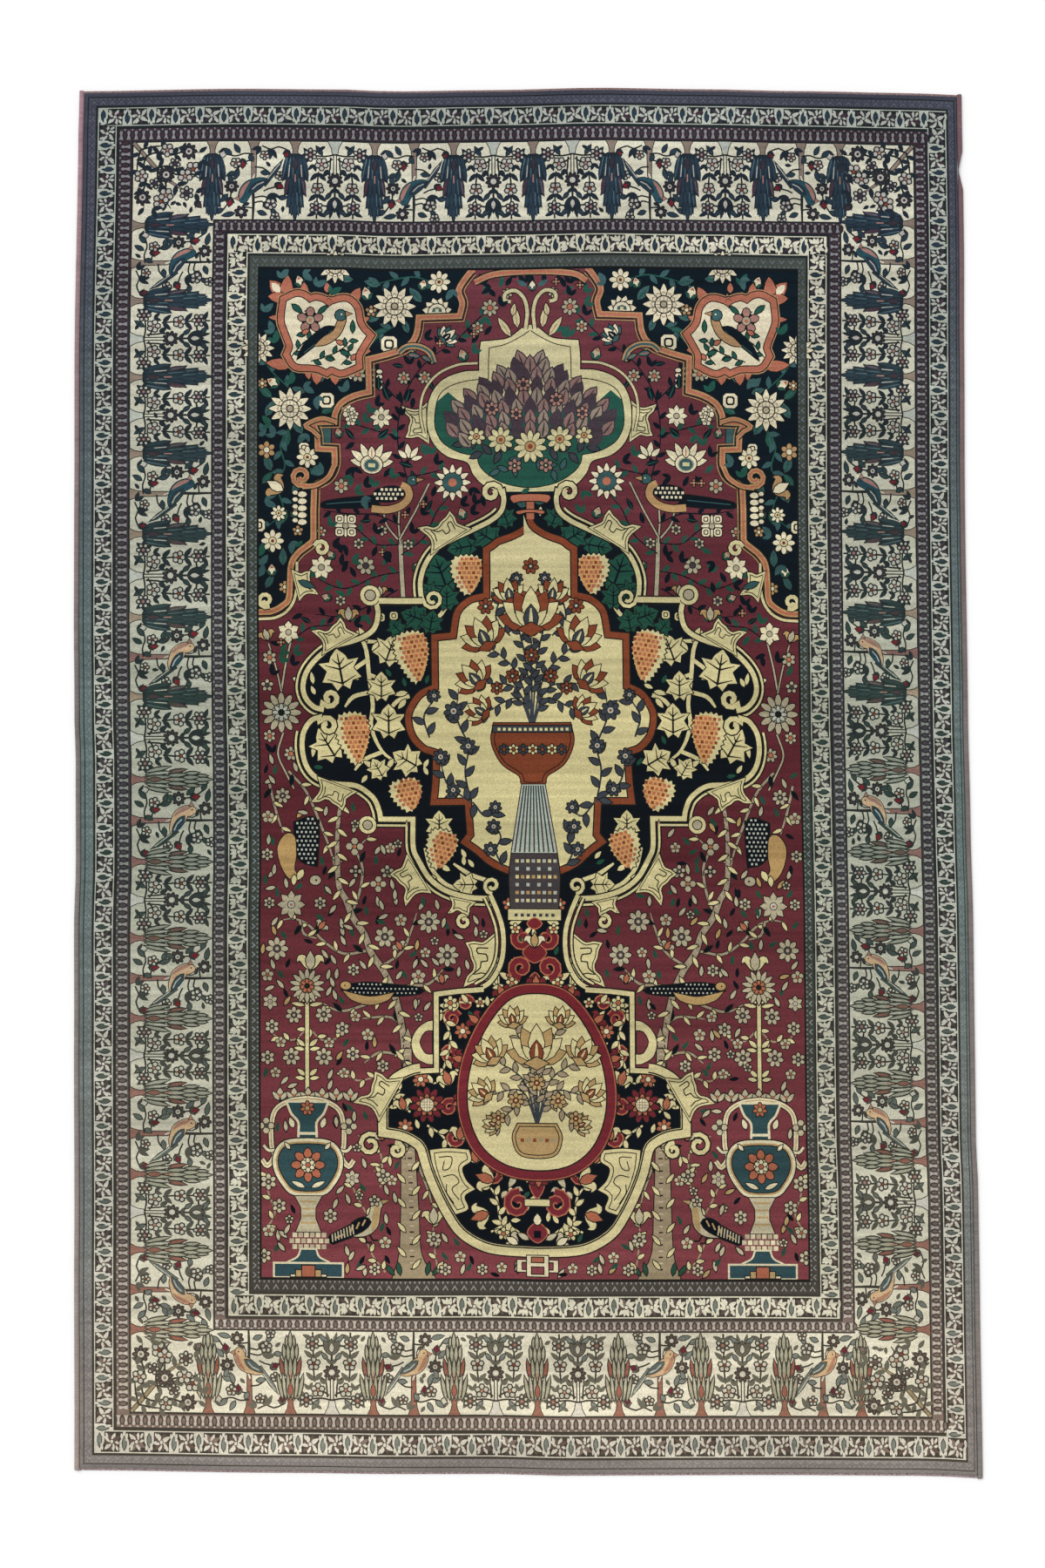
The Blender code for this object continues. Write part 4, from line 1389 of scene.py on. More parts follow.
    def lower_birds(self, c: Motifs) -> None:
        """Draw the three birds in and beside the tree."""
        d = Dye
        wing = path([(-262, -58, 1), (-242, -52), (-234, -64), (-236, -108, 1), (-252, -104),
                     (-261, -90)], True, 5)
        c.shape(wing, d.NAVY)
        c.specks(grown(wing, -1), 5.0, 1.2, d.SMOKE)
        c.shape(path([(-262, -74), (-272, -72), (-281, -86), (-278, -106), (-268, -122),
                      (-254, -124, 1), (-262, -112), (-260, -95)], True, 5), d.CAMEL)
        c.each(c.leaf, ((-252, -112, 14, 7, 150), (-262, -118, 12, 6, 176)), d.STRAW)
        c.shape(ellipse(-238, -124, 6.4, 5.4, 10), d.BONE)
        c.fill(ellipse(-237, -124, 1.4, 1.4, 5), d.BLACK)
        wing = path([(-206, -244), (-180, -239), (-150, -241), (-118, -245), (-118, -251),
                     (-150, -254), (-200, -252)], True, 6)
        c.shape(wing, d.NAVY)
        c.specks(grown(wing, -1), 4.8, 0.9, d.SMOKE)
        c.shape(path([(-206, -249, 1), (-196, -259), (-176, -264), (-156, -259), (-148, -250, 1),
                      (-176, -255)], True, 5), d.CAMEL)
        c.shape(ellipse(-203, -243, 6, 4.6, 9), d.CAMEL)
        c.fill(ellipse(-204, -243, 1, 1, 5), d.BLACK)
        c.bird(-184, -513, 19, 20, d.BONE, d.NAVY, d.CAMEL)
        with c.at(-184, -513, 20, 1.9):
            for k in range(8):
                c.stroke([(-6.4 - k * 1.9, 2.8 - k * 0.2), (-7.6 - k * 1.9, -3)], 0.8, d.BONE)

    def spandrel(self, c: Motifs) -> None:
        """Draw the navy corner with its stepped edge, its cartouche and its big flowers."""
        d = Dye
        edge = path([(-52, 580, 1), (-57, 577), (-70, 557), (-66, 541), (-69, 526, 1),
                     (-116, 525, 1), (-118, 508), (-124, 496), (-135, 488), (-152, 482),
                     (-174, 476, 1), (-173, 438, 1), (-190, 433), (-205, 424), (-212, 412),
                     (-213, 402, 1), (-238, 401, 1), (-233, 388), (-232, 371, 1), (-213, 370, 1),
                     (-213, 352), (-220, 338), (-236, 329, 1), (-237, 300), (-237, 267, 1),
                     (-240, 262), (-255, 250), (-263, 235), (-265, 200), (-272, 190), (-285, 183),
                     (-300, 182)], step=4)
        c.fill(np.vstack([edge, [(-300, 580)]]), d.NAVY)
        c.each(c.leaf, ((-113, 543, 22, 10, 40), (-176, 520, 22, 10, -60), (-160, 563, 20, 9, 80),
                        (-128, 507, 18, 8, 20), (-232, 446, 24, 11, -20), (-250, 388, 24, 11, 30),
                        (-292, 408, 22, 10, -30), (-286, 345, 20, 10, 20), (-262, 322, 20, 9, -50),
                        (-290, 310, 20, 9, -20), (-272, 236, 20, 9, 0), (-292, 210, 18, 8, -30),
                        (-205, 450, 20, 9, 60), (-192, 568, 18, 8, 90), (-247, 436, 16, 8, 70)),
               d.TEAL, d.BLACK, d.GREEN)
        c.each(c.leaf, ((-100, 560, 18, 8, 70), (-285, 430, 20, 9, 50), (-296, 330, 18, 8, -40),
                        (-270, 372, 22, 10, -10), (-228, 412, 20, 9, -60), (-188, 540, 20, 9, 160),
                        (-268, 300, 18, 8, 160), (-283, 250, 18, 8, 30), (-152, 510, 16, 7, 100)),
               d.GREEN, d.BLACK, d.TEAL)
        for points in (((-90, 560), (-120, 572), (-150, 568), (-175, 560)),
                       ((-144, 515), (-160, 505), (-172, 492)),
                       ((-264, 440), (-285, 460), (-296, 478)),
                       ((-264, 393), (-275, 375), (-270, 350), (-280, 330), (-272, 300),
                        (-290, 280))):
            c.sprig(points, d.GREEN, d.TEAL, 12, 14, 1.8, None)
        c.each(c.sunflower,
               ((-144, 538, 24.5), (-264, 417, 24.5), (-213, 582, 19), (-301, 487, 19)))
        c.each(c.tile, ((-150, 494, 9), (-222, 427, 8.4), (-248, 372, 5.4), (-300, 282, 7)),
               d.IVORY, d.IVORY)
        c.each(c.daisy, ((-244, 361, 12.5, 8), (-277, 296, 9, 8), (-284, 264, 13, 8),
                         (-93, 566, 13, 8), (-194, 462, 10, 8)), d.IVORY, d.STRAW, d.RED)
        c.each(c.daisy, ((-291, 369, 10, 6), (-270, 211, 7, 6), (-171, 532, 6.5, 5),
                         (-255, 276, 6, 5), (-124, 487, 6, 5), (-240, 456, 6, 5),
                         (-296, 446, 6, 6)), d.CAMEL, d.IVORY)
        c.each(c.bud, ((-175, 546, 14, 15), (-113, 558, 11, -15), (-278, 444, 14, 60),
                       (-285, 225, 12, 0), (-260, 292, 10, -20), (-252, 560, 12, 20)), d.IVORY,
               d.CORAL)
        c.lily(-275, 324, 17, 60, d.CAMEL, d.IVORY)
        with c.at(-95, 531):
            for turn in (-80, -48, -16, 16, 48, 80):
                c.leaf(0, 0, 17, 9.5, turn, d.IVORY)
            c.shape([(10, -1), (9, 4), (5, 8), (0, 9.4), (-5, 8), (-9, 4), (-10, -1)], d.IVORY)
            c.fill([(6, 0), (5, 4), (0, 6), (-5, 4), (-6, 0)], d.TEAL)
            c.fill(rectangle(-2, 0, 2, 4), d.STRAW)
        for y in range(286, 322, 8):
            c.shape(ellipse(-250, y, 5.4, 3.4, 8), d.IVORY if y % 16 else d.CORAL)
            c.shape(ellipse(-258, y + 2, 3.2, 2.6, 6), d.IVORY)
        c.shape([(-236, 399), (-217, 399), (-217, 374), (-229, 374), (-229, 388)], d.TEAL, d.BLACK)
        ring = np.vstack([path([(-213, 352), (-220, 338), (-234, 329), (-247, 327)], step=4),
                          curl(-251, 339, 11.5, 290, -1.25)])
        for distance, layers in ((6.4, [(2.6, d.BLACK), (1.2, d.CAMEL)]),
                                 (0, [(9.4, d.BLACK), (6.8, d.CAMEL), (3.2, d.CORAL)])):
            c.band(shifted(edge, -distance), layers)
        c.band(ring, [(8.2, d.BLACK), (5.6, d.CAMEL), (2.4, d.CORAL)])
        c.band(path([(-211, 402), (-228, 406), (-246, 398), (-238, 392), (-230, 384)], step=4),
               [(7.4, d.BLACK), (4.8, d.CAMEL), (1.6, d.CORAL)])
        c.band(path([(-139, 484), (-130, 491), (-115, 491), (-103, 484), (-98, 472)], step=4),
               [(9, d.BLACK), (6.6, d.CAMEL), (2.6, d.TEAL)])
        c.each(c.leaf, ((-128, 482, 14, 6, -100), (-112, 480, 12, 5, -120)), d.TEAL, d.BLACK,
               d.CORAL)
        for x, y, r, start, turns in ((-292, 196, 9, 300, -1.3), (-228, 256, 9, 160, -1.2)):
            c.band(curl(x, y, r, start, turns), [(6.8, d.BLACK), (4.4, d.STRAW)])
        c.band(path([(-300, 174), (-280, 176), (-265, 186), (-257, 205), (-256, 240)], step=5),
               [(5.2, d.BLACK), (3.0, d.STRAW)])
        c.claw(-254, 214, 17, -76, d.STRAW, True)
        c.leaf(-254, 218, 20, 7, -112, d.TEAL, d.BLACK)
        self.corner_cartouche(c)

    def corner_cartouche(self, c: Motifs) -> None:
        """Draw the lobed cartouche with a perched bird."""
        d = Dye
        lobes = path([(-268, 541, 1), (-258, 546), (-250, 545), (-242, 539, 1), (-235, 542),
                      (-225, 539), (-221, 533, 1), (-215, 538), (-200, 541), (-191, 533),
                      (-188, 518), (-183, 509), (-177, 503, 1), (-183, 493), (-189, 481),
                      (-189, 470, 1), (-197, 466), (-206, 463), (-216, 467), (-222, 464, 1),
                      (-232, 468), (-243, 469), (-256, 470), (-263, 480, 1), (-260, 490),
                      (-265, 505), (-270, 520)], True, 4)
        c.daisy(-186, 458, 9, 7, d.BONE, d.CORAL)
        c.each(c.leaf, ((-270, 546, 27, 16, 43), (-270, 546, 26, 14, -6), (-268, 545, 22, 13, 84),
                        (-248, 546, 18, 10, 2), (-222, 552, 12, 7, 0), (-194, 540, 21, 12, -28),
                        (-186, 518, 15, 7, -64), (-184, 506, 17, 12, -88),
                        (-188, 488, 17, 12, -100), (-268, 522, 21, 7, 88), (-262, 467, 30, 13, 84),
                        (-244, 468, 17, 9, 186), (-232, 466, 21, 13, 176),
                        (-213, 466, 21, 13, 184)), d.CORAL)
        c.leaf(-276, 552, 15, 9, 43, d.IVORY, None)
        c.rings(lobes,
                ((10.8, d.CAMEL), (9.6, d.BLACK), (8.4, d.CORAL), (1.6, d.BLACK), (0.4, d.IVORY)))
        for points in (((-262, 478), (-250, 492), (-240, 500)),
                       ((-205, 468), (-196, 480), (-200, 494)),
                       ((-240, 472), (-222, 478), (-205, 486), (-192, 500)),
                       ((-248, 530), (-240, 534))):
            c.sprig(points, d.BLACK, d.GREEN, 8, 9, 1.4)
        c.shape(path([(-256, 474, 1), (-236, 490), (-218, 504), (-210, 512, 1), (-224, 512),
                      (-240, 500), (-250, 488)], True, 5), d.NAVY)
        c.stroke([(-248, 482), (-230, 496), (-216, 508)], 1.0, d.TEAL)
        c.shape(path([(-236, 490, 1), (-222, 492), (-208, 502), (-201, 516), (-200, 524, 1),
                      (-208, 522), (-214, 508), (-226, 500)], True, 4), d.CAMEL)
        c.shape(ellipse(-206, 526, 6.4, 6.2, 10), d.TEAL)
        c.shape([(-200, 530), (-193, 528), (-200, 525)], d.CAMEL)
        c.fill(ellipse(-205, 527, 1.2, 1.2, 5), d.IVORY)
        c.daisy(-241, 520, 15, 5, d.SALMON, d.BONE, d.CORAL)
        c.each(c.leaf, ((-262, 538, 15, 6, -130), (-232, 528, 14, 5, -50), (-192, 506, 14, 5, 0),
                        (-206, 484, 12, 5, -110), (-246, 504, 10, 5, 100), (-214, 474, 9, 4, 80)),
               d.GREEN, d.BLACK)
        c.each(c.leaf, ((-250, 504, 9, 5, -60), (-203, 492, 9, 5, 60), (-193, 474, 8, 5, -30)),
               d.CORAL)

    def top_cartouche(self, c: Motifs) -> None:
        """Draw half of the cartouche over the medallion, with its finial."""
        d = Dye
        outer = path([(12.5, 515, 1), (4, 512), (-12, 500), (-30, 497), (-44, 496, 1), (-46, 480),
                      (-46, 462, 1), (-65, 461), (-85, 454), (-97, 443), (-104, 428), (-106, 412),
                      (-105, 394), (-97, 376), (-82, 363), (-60, 356), (-53, 342), (-40, 329),
                      (-20, 322), (12.5, 318, 1)], step=4)
        inner = path([(12.5, 508, 1), (2, 501), (-16, 492), (-34, 488, 1), (-35, 470),
                      (-35, 452, 1), (-60, 450), (-82, 443), (-93, 431), (-97, 408), (-95, 392),
                      (-86, 378), (-68, 368), (-48, 364, 1), (-46, 354), (-38, 344), (-20, 333),
                      (0, 328), (12.5, 327, 1)], step=4)
        c.claw(-110, 402, 22, 92, d.STRAW, True)
        c.band(path([(-48, 471), (-72, 469), (-95, 458), (-110, 438), (-114, 414), (-110, 390)],
                    step=5), [(4.4, d.BLACK), (2.6, d.STRAW)])
        for line, dye in ((shifted(outer, 1.4), d.BLACK), (outer, d.STRAW),
                          (shifted(inner, 1.1), d.BLACK), (inner, d.STRAW)):
            c.fill(line, dye)
        c.fill(np.vstack([inner[inner[:, 1] < 431], [(12.5, 412), (-2, 424), (-24, 416), (-46, 436),
                                                     (-66, 424), (-82, 438)]]), d.GREEN)
        c.band(path([(7, 510), (9, 530), (5, 546), (-5, 555), (-16, 552), (-17, 544), (-10, 542)],
                    step=4), [(6.2, d.BLACK), (4.0, d.STRAW)])
        c.each(c.leaf, ((-2, 512, 24, 8, 8), (-10, 502, 26, 8, 34), (-8, 526, 14, 6, -10)), d.STRAW,
               d.BLACK, d.CAMEL)

    def medallion(self, c: Motifs) -> None:
        """Draw half of the medallion: its ivory scrolls, its grapes and its rust frame."""
        d = Dye
        crown = path([(-19, 322), (-18, 310), (-22, 298), (-34, 288), (-52, 279), (-76, 268),
                      (-96, 256), (-108, 240), (-114, 222), (-114, 206), (-112, 197)], step=4)
        shoulder = path([(-120, 195, 1), (-165, 195, 1), (-163, 182), (-167, 166), (-178, 156),
                         (-195, 149), (-215, 143), (-232, 131), (-245, 115), (-250, 98), (-247, 84),
                         (-238, 74), (-229, 71)], step=4)
        hip = path([(-231, 62), (-241, 58), (-250, 44), (-252, 24), (-247, 5), (-235, -8),
                    (-215, -14), (-190, -16), (-172, -28), (-165, -42), (-163, -53, 1),
                    (-126, -53, 1), (-126, -85), (-120, -100), (-108, -120), (-90, -134),
                    (-65, -142), (-35, -144), (12.5, -144, 1)], step=4)
        c.fill(np.vstack([[(12.5, 322)], crown, shoulder, hip]), d.NAVY)
        for stem in (((-186, 162), (-177, 140), (-174, 110), (-170, 78), (-172, 52), (-160, 24),
                      (-138, 8)), ((-174, 130), (-190, 118), (-205, 100)),
                     ((-172, 92), (-192, 86), (-202, 74)), ((-174, 112), (-150, 104)),
                     ((-176, 150), (-158, 150)), ((-160, 24), (-182, 14), (-192, 2)),
                     ((-140, 10), (-132, 0)),
                     ((-88, 238), (-92, 215), (-84, 195), (-98, 175), (-130, 168)),
                     ((-60, -136), (-88, -128), (-106, -108), (-113, -86)),
                     ((-40, -124), (-62, -116), (-80, -104)), ((-128, 88), (-142, 82), (-152, 70))):
            line = path(stem, step=6)
            c.stroke(line, 4.6, d.STRAW, tip=0.5)
        c.each(c.leaf, ((-176, 150, 18, 7, 30), (-170, 138, 14, 6, -30), (-186, 106, 14, 6, 60),
                        (-160, 40, 16, 6, -20), (-178, 62, 14, 6, 120), (-148, 16, 14, 6, 150),
                        (-130, 92, 16, 6, 100), (-132, 84, 14, 6, 140), (-238, 100, 14, 5, 10),
                        (-238, 30, 14, 5, 170), (-170, 6, 14, 6, 60), (-84, -112, 14, 6, 60),
                        (-100, -120, 14, 5, 80), (-52, -124, 14, 5, 100), (-60, 250, 14, 6, 110),
                        (-104, 200, 12, 5, 10)), d.STRAW)
        c.each(c.vine_leaf, ((-207, 116, 24, 10), (-150, 140, 19, -20), (-160, 98, 17, 0),
                             (-152, 58, 20, 0), (-222, 30, 21, 30), (-132, 14, 18, 60),
                             (-165, 4, 13, 30), (-96, -60, 16, 0), (-66, -128, 14, 90)), d.STRAW,
               d.BLACK)
        c.each(c.vine_leaf, ((-90, 228, 24, 20), (-120, 178, 17, 70), (-102, 172, 14, -10),
                             (-38, 270, 18, 60), (-142, 166, 11, 40), (-84, 200, 15, 0),
                             (-66, 258, 17, 100), (-16, 292, 13, 20), (-104, 206, 13, 40)), d.GREEN,
               d.NAVY)
        c.each(c.tile, ((-160, 178, 4.4), (-145, 180, 4.4)), d.STRAW, d.STRAW)
        c.each(c.grapes, ((-61, 226, 36, 46, 0), (-124, 132, 38, 60, 8), (-193, 38, 38, 60, 4),
                          (-133, -26, 36, 38, 10), (-95, -88, 34, 46, -16)))
        c.scroll(np.vstack([curl(-32, 321, 11.5, 0, 1.15)[::-1], crown]), d.STRAW, 5.4)
        c.scroll(shifted(crown[8:], 7.0), d.STRAW, 2.4)
        c.scroll(np.vstack([shoulder, curl(-219, 84, 10.5, 215, 1.15)]), d.STRAW, 5.6)
        c.scroll(shifted(shoulder[len(shoulder) // 3:], 7.2), d.STRAW, 2.4)
        c.scroll(np.vstack([curl(-222, 52, 10.5, 150, -1.15)[::-1], hip]), d.STRAW, 5.6)
        c.scroll(shifted(hip[8:], 7.2), d.STRAW, 2.4)
        c.each(c.spiral, ((-100, 199, 11.5, 180, 1.35), (-36, -129, 9.5, 270, -1.2),
                          (-68, -170, 8.5, 60, 1.2)), d.STRAW, 3.8)
        c.each(c.claw, ((-209, 150, 22, 30), (-82, 270, 25, 32), (-124, -118, 24, 122)), d.STRAW)
        c.each(c.claw, ((-214, -19, 22, 160), (-70, -148, 14, 168)), d.STRAW, True)
        for x, y, r in ((-172, 203, 11.5), (-178, -60, 10)):
            for share, dye in ((1.1, d.BLACK), (1, d.STRAW), (0.62, d.BLACK), (0.5, d.BONE)):
                c.fill(ellipse(x, y, r * share, r * share, 14), dye)
        c.scroll([(-162, 197), (-112, 197)], d.STRAW, 6.4)
        self.rust_frame(c)

    def rust_frame(self, c: Motifs) -> None:
        """Draw half of the rust frame round the middle of the medallion."""
        d = Dye
        frame = path([(12.5, 298, 1), (8, 286), (0, 279), (-12, 273), (-26, 268), (-34, 262),
                      (-42, 257, 1), (-42, 230), (-42, 205, 1), (-60, 200), (-75, 185),
                      (-80, 160, 1), (-102, 158, 1), (-102, 128), (-102, 100, 1), (-118, 92),
                      (-130, 75), (-133, 60), (-128, 40), (-115, 25), (-102, 20, 1), (-103, -10),
                      (-106, -37, 1), (-85, -37), (-66, -37, 1), (-65, -55), (-64, -70, 1),
                      (-72, -80, 1), (-55, -92), (-40, -105), (-20, -115), (0, -119),
                      (12.5, -120, 1)], step=4)
        for distance, dye in ((1.6, d.BLACK), (0, d.RUST), (-7, d.BLACK), (-8.4, d.STRAW)):
            c.fill(shifted(frame, distance), dye)

    def waist(self, c: Motifs) -> None:
        """Draw half of the waist between the medallion and the pendant."""
        d = Dye
        side = path([(-38, -140), (-30, -158), (-24, -178), (-23, -200), (-27, -220), (-38, -238),
                     (-52, -247)], step=4)
        c.fill(np.vstack([[(12.5, -140)], side, [(12.5, -262)]]), d.NAVY)
        c.claw(-36, -214, 30, 92, d.STRAW)
        c.scroll(shifted(side, 7.4), d.STRAW, 2.4)
        c.scroll(side, d.STRAW, 5)
        c.each(c.leaf, ((-6, -150, 14, 6, 40), (-16, -172, 14, 7, -80), (-14, -236, 16, 7, 60),
                        (-22, -243, 14, 6, 100), (-10, -224, 12, 6, 20)), d.STRAW)
        c.each(c.daisy, ((-17, -150, 7, 5), (-14, -232, 6, 5)), d.CORAL, d.IVORY)

    def pendant(self, c: Motifs) -> None:
        """Draw half of the pendant with its flowers round a framed oval."""
        d = Dye
        rim = path([(-46, -247), (-75, -249), (-100, -252, 1), (-100, -290), (-100, -338, 1),
                    (-125, -340), (-145, -350), (-155, -365), (-158, -385), (-158, -405, 1),
                    (-140, -408), (-125, -415), (-115, -425), (-108, -450), (-98, -475),
                    (-85, -500), (-72, -518), (-52, -531), (-30, -537), (12.5, -539, 1)], step=4)
        c.fill(np.vstack([rim, [(12.5, -247)]]), d.NAVY)
        c.each(c.spiral, ((-82, -280, 9, 20, 1.1), (-84, -318, 10, -20, -1.1),
                          (-86, -380, 9, 0, 1.1), (-80, -414, 9, 30, -1.1),
                          (-38, -456, 10, 90, -1.1), (-66, -262, 7, 0, 1.1)), d.RED, 4.4, d.CORAL)
        for points in (((-95, -270), (-84, -300), (-90, -330), (-100, -352), (-118, -348)),
                       ((-111, -400), (-96, -410), (-84, -424)),
                       ((-20, -524), (-30, -505), (-34, -480), (-50, -460)),
                       ((-130, -385), (-148, -372), (-140, -358)),
                       ((-60, -262), (-78, -262), (-92, -272)),
                       ((-40, -520), (-22, -512), (-8, -520))):
            c.sprig(points, d.STRAW, d.STRAW, 11, 12, 2.2)
        c.each(c.daisy, ((-118, -348, 9, 7), (-136, -402, 9, 7), (-70, -294, 9, 7)), d.CORAL,
               d.IVORY)
        c.each(c.daisy,
               ((-84, -262, 8, 6), (-50, -262, 6, 5), (-74, -334, 7, 5), (-26, -522, 7, 5)),
               d.STRAW, d.CORAL)
        c.each(c.lily, ((-40, -462, 17, 70), (-46, -500, 17, 110), (-74, -414, 14, -10),
                        (-86, -352, 14, 20), (-138, -380, 12, 10), (-56, -440, 12, 20)), d.STRAW,
               d.CORAL)
        c.each(c.lily, ((-14, -482, 14, 20), (-12, -532, 12, 60)), d.BONE, d.IVORY)
        crest = path([(-108, -428, 1), (-88, -426), (-64, -428, 1), (-62, -440), (-72, -448),
                      (-68, -462), (-58, -472, 1), (-70, -480), (-66, -494), (-80, -500, 1),
                      (-94, -478), (-104, -452)], True, 4)
        c.contour(crest, d.STRAW, 3.4)
        for line in (((-98, -436), (-84, -436), (-86, -448), (-94, -450), (-92, -440)),
                     ((-94, -458), (-82, -456), (-76, -464), (-84, -472), (-76, -484)),
                     ((-90, -466), (-90, -476), (-82, -488))):
            c.stroke(path(line, step=3), 1.2, d.BLACK)
        c.daisy(-111, -377, 20, 11, d.RED, d.IVORY, core=0.5)
        c.daisy(-111, -377, 12.5, 9, d.CORAL, d.IVORY, core=0.6)
        c.lattice(-111, -377, 7.5, d.IVORY, d.BARK)
        c.shape(path([(-104, -282, 1), (-112, -284), (-122, -292), (-128, -306), (-124, -322),
                      (-112, -330), (-104, -331, 1)], True, 4), d.STRAW)
        c.shape(path([(-105, -294, 1), (-112, -295), (-118, -306), (-112, -318), (-105, -319, 1)],
                     True, 4), d.CRIMSON)
        c.scroll(rim, d.STRAW, 5.4)
        c.scroll(shifted(rim[42:], 4), d.STRAW, 9)
        c.claw(-157, -368, 26, 60, d.STRAW)
        c.each(c.spiral, ((-176, -422, 13, 60, 1.2), (-146, -428, 9, 100, -1.2)), d.STRAW, 4.6)

    def vase(self, c: Motifs) -> None:
        """Draw the tall vase with its handles and the lotus row over it."""
        d, x = Dye, -247.0
        for px in (-278, -262, -246, -230, -214, -198):
            c.each(c.leaf,
                   ((px, -374, 15, 8, 0), (px + 1, -373, 12, 5, -38), (px - 1, -373, 12, 5, 38)),
                   d.BONE)
            c.fill(ellipse(px, -368, 1.4, 2.4, 6), d.CORAL)
        for side in (-1, 1):
            with c.at(x, 0, flip=side > 0):
                handle = path([(0, -371), (-20, -374), (-36, -384), (-41, -402), (-41, -424),
                               (-38, -436), (-46, -447), (-52, -440)], step=4)
                c.band(handle, [(7.6, d.BLACK), (5.2, d.IVORY), (1.2, d.CAMEL)])
                c.band(path([(-28, -420), (-34, -428), (-44, -430), (-50, -424)], step=4),
                       [(5, d.BLACK), (3, d.IVORY)])
                c.dots(-47, -402, 9, 4, d.BONE, d.PLUM)
        c.shape(path([(x - 22, -376, 1), (x + 22, -376, 1), (x + 17, -388), (x + 9, -398),
                      (x + 8, -420), (x - 8, -420), (x - 9, -398), (x - 17, -388)], True, 5),
                d.TEAL, d.IVORY, 2.6)
        c.each(c.daisy, ((x, -382, 8, 7),), d.CORAL, d.CAMEL)
        c.each(c.leaf, ((x - 16, -404, 12, 6, 20), (x + 16, -404, 12, 6, -20)), d.IVORY)
        c.fill(rectangle(x - 9, -412, x + 9, -409), d.IVORY)
        body = path([(x - 26, -419), (x, -416), (x + 26, -419), (x + 38, -432), (x + 39, -450),
                     (x + 30, -468), (x + 16, -480), (x - 16, -480), (x - 30, -468), (x - 39, -450),
                     (x - 38, -432)], True, 5)
        c.rings(body,
                ((1.4, d.BLACK), (0, d.IVORY), (-3.4, d.CAMEL), (-5.4, d.BLACK), (-6.6, d.TEAL)))
        for side in (-1, 1):
            c.each(c.leaf, ((x + side * 4, -471, 16, 5, side * -66),
                            (x + side * 20, -428, 9, 4, side * -40)), d.IVORY)
        c.daisy(x, -446, 19, 8, d.CORAL, d.IVORY, core=0.44)
        c.daisy(x, -446, 8, 6, d.IVORY, d.CORAL)
        c.shape([(x - 15, -481), (x + 15, -481), (x + 8, -494), (x + 8, -506), (x + 14, -521),
                 (x - 14, -521), (x - 8, -506), (x - 8, -494)], d.BONE)
        for y, half in ((-487, 9), (-495, 7), (-503, 7), (-511, 9)):
            c.fill(rectangle(x - half, y - 1, x + half, y + 1), d.CAMEL)
        c.specks(rectangle(x - 22, -541, x + 22, -521), 6.6, 2.6, d.IVORY, d.BONE)
        c.shape(path([(x - 8, -541, 1), (x + 8, -541, 1), (x + 12, -550), (x + 26, -557, 1),
                      (x - 26, -557, 1), (x - 12, -550)], True, 4), d.TEAL, d.IVORY, 2)
        c.shape(rectangle(x - 38, -571, x + 38, -557), d.TEAL, d.IVORY, 2.2)
        for half, top, dye in ((20, -569, d.IVORY), (14, -564, d.CAMEL), (7, -559, d.CORAL)):
            c.shape(rectangle(x - half, -571, x + half, top), dye)

    def finials(self, c: Motifs) -> None:
        """Draw the stems, buds and small palmettes on the axis."""
        d, x = Dye, self.axis
        c.bud(x + 2, 556, 10, 0, d.IVORY, None, d.TEAL)
        c.each(c.leaf, ((x - 4, 560, 14, 6, 60), (x + 8, 560, 14, 6, -60)), d.TEAL, None)
        c.band([(x, 290), (x, 318)], [(11, d.BLACK), (8.6, d.CORAL)])
        for half, low, high in ((22, 308, 319), (16, 295, 301)):
            c.shape(path([(x - half, high - 2), (x, high), (x + half, high - 2),
                          (x + half - 3, low + 1), (x + half - 10, low + 3),
                          (x - half + 10, low + 3), (x - half + 3, low + 1)], True, 4), d.CORAL)
        c.band(path([(-52, 565), (-30, 574), (x, 577), (60, 574), (77, 565)], step=6),
               [(9.4, d.BLACK), (6.8, d.CAMEL), (3.2, d.CORAL)])
        for side in (-1, 1):
            for px, y, r, start, turns in ((14, -190, 11, 90, -1.1), (16, -222, 12, 270, 1.1),
                                           (22, -488, 14, 100, -1.2)):
                c.spiral(x + side * px, y, r, 90 + side * (start - 90), turns * side, d.RED, 6,
                         d.CORAL)
            c.each(c.daisy, ((x + side * 22, -178, 6, 5), (x + side * 26, -240, 7, 5)), d.STRAW,
                   d.CORAL)
            c.each(c.leaf, ((x + side * 24, -456, 16, 7, side * -150),
                            (x + side * 10, -528, 14, 6, side * -60)), d.BONE, d.BLACK)
        for y, w, h in ((-172, 16, 12), (-205, 26, 22), (-238, 14, 20), (-466, 16, 30),
                        (-520, 22, 22)):
            c.shape(path([(x - w / 2, y), (x, y + h / 2), (x + w / 2, y), (x, y - h / 2)], True, 4),
                    d.RED, d.CORAL)
        c.lily(x, -196, 13, 0, d.IVORY, d.CAMEL)
        c.shape(rectangle(x - 14, -490, x + 14, -483), d.STRAW)
        c.bud(x, -510, 11, 0, d.IVORY, None, None)
        c.fill(rectangle(x - 4, -526, x + 4, -518), d.NAVY)
        for half, low, high, dye in ((23, -564, -551, d.IVORY), (17, -561, -554, d.CRIMSON),
                                     (12, -569, -546, d.IVORY), (6.5, -566, -559, d.CRIMSON),
                                     (6.5, -553, -548, d.CORAL)):
            c.shape(rectangle(x - half, low, x + half, high), dye)

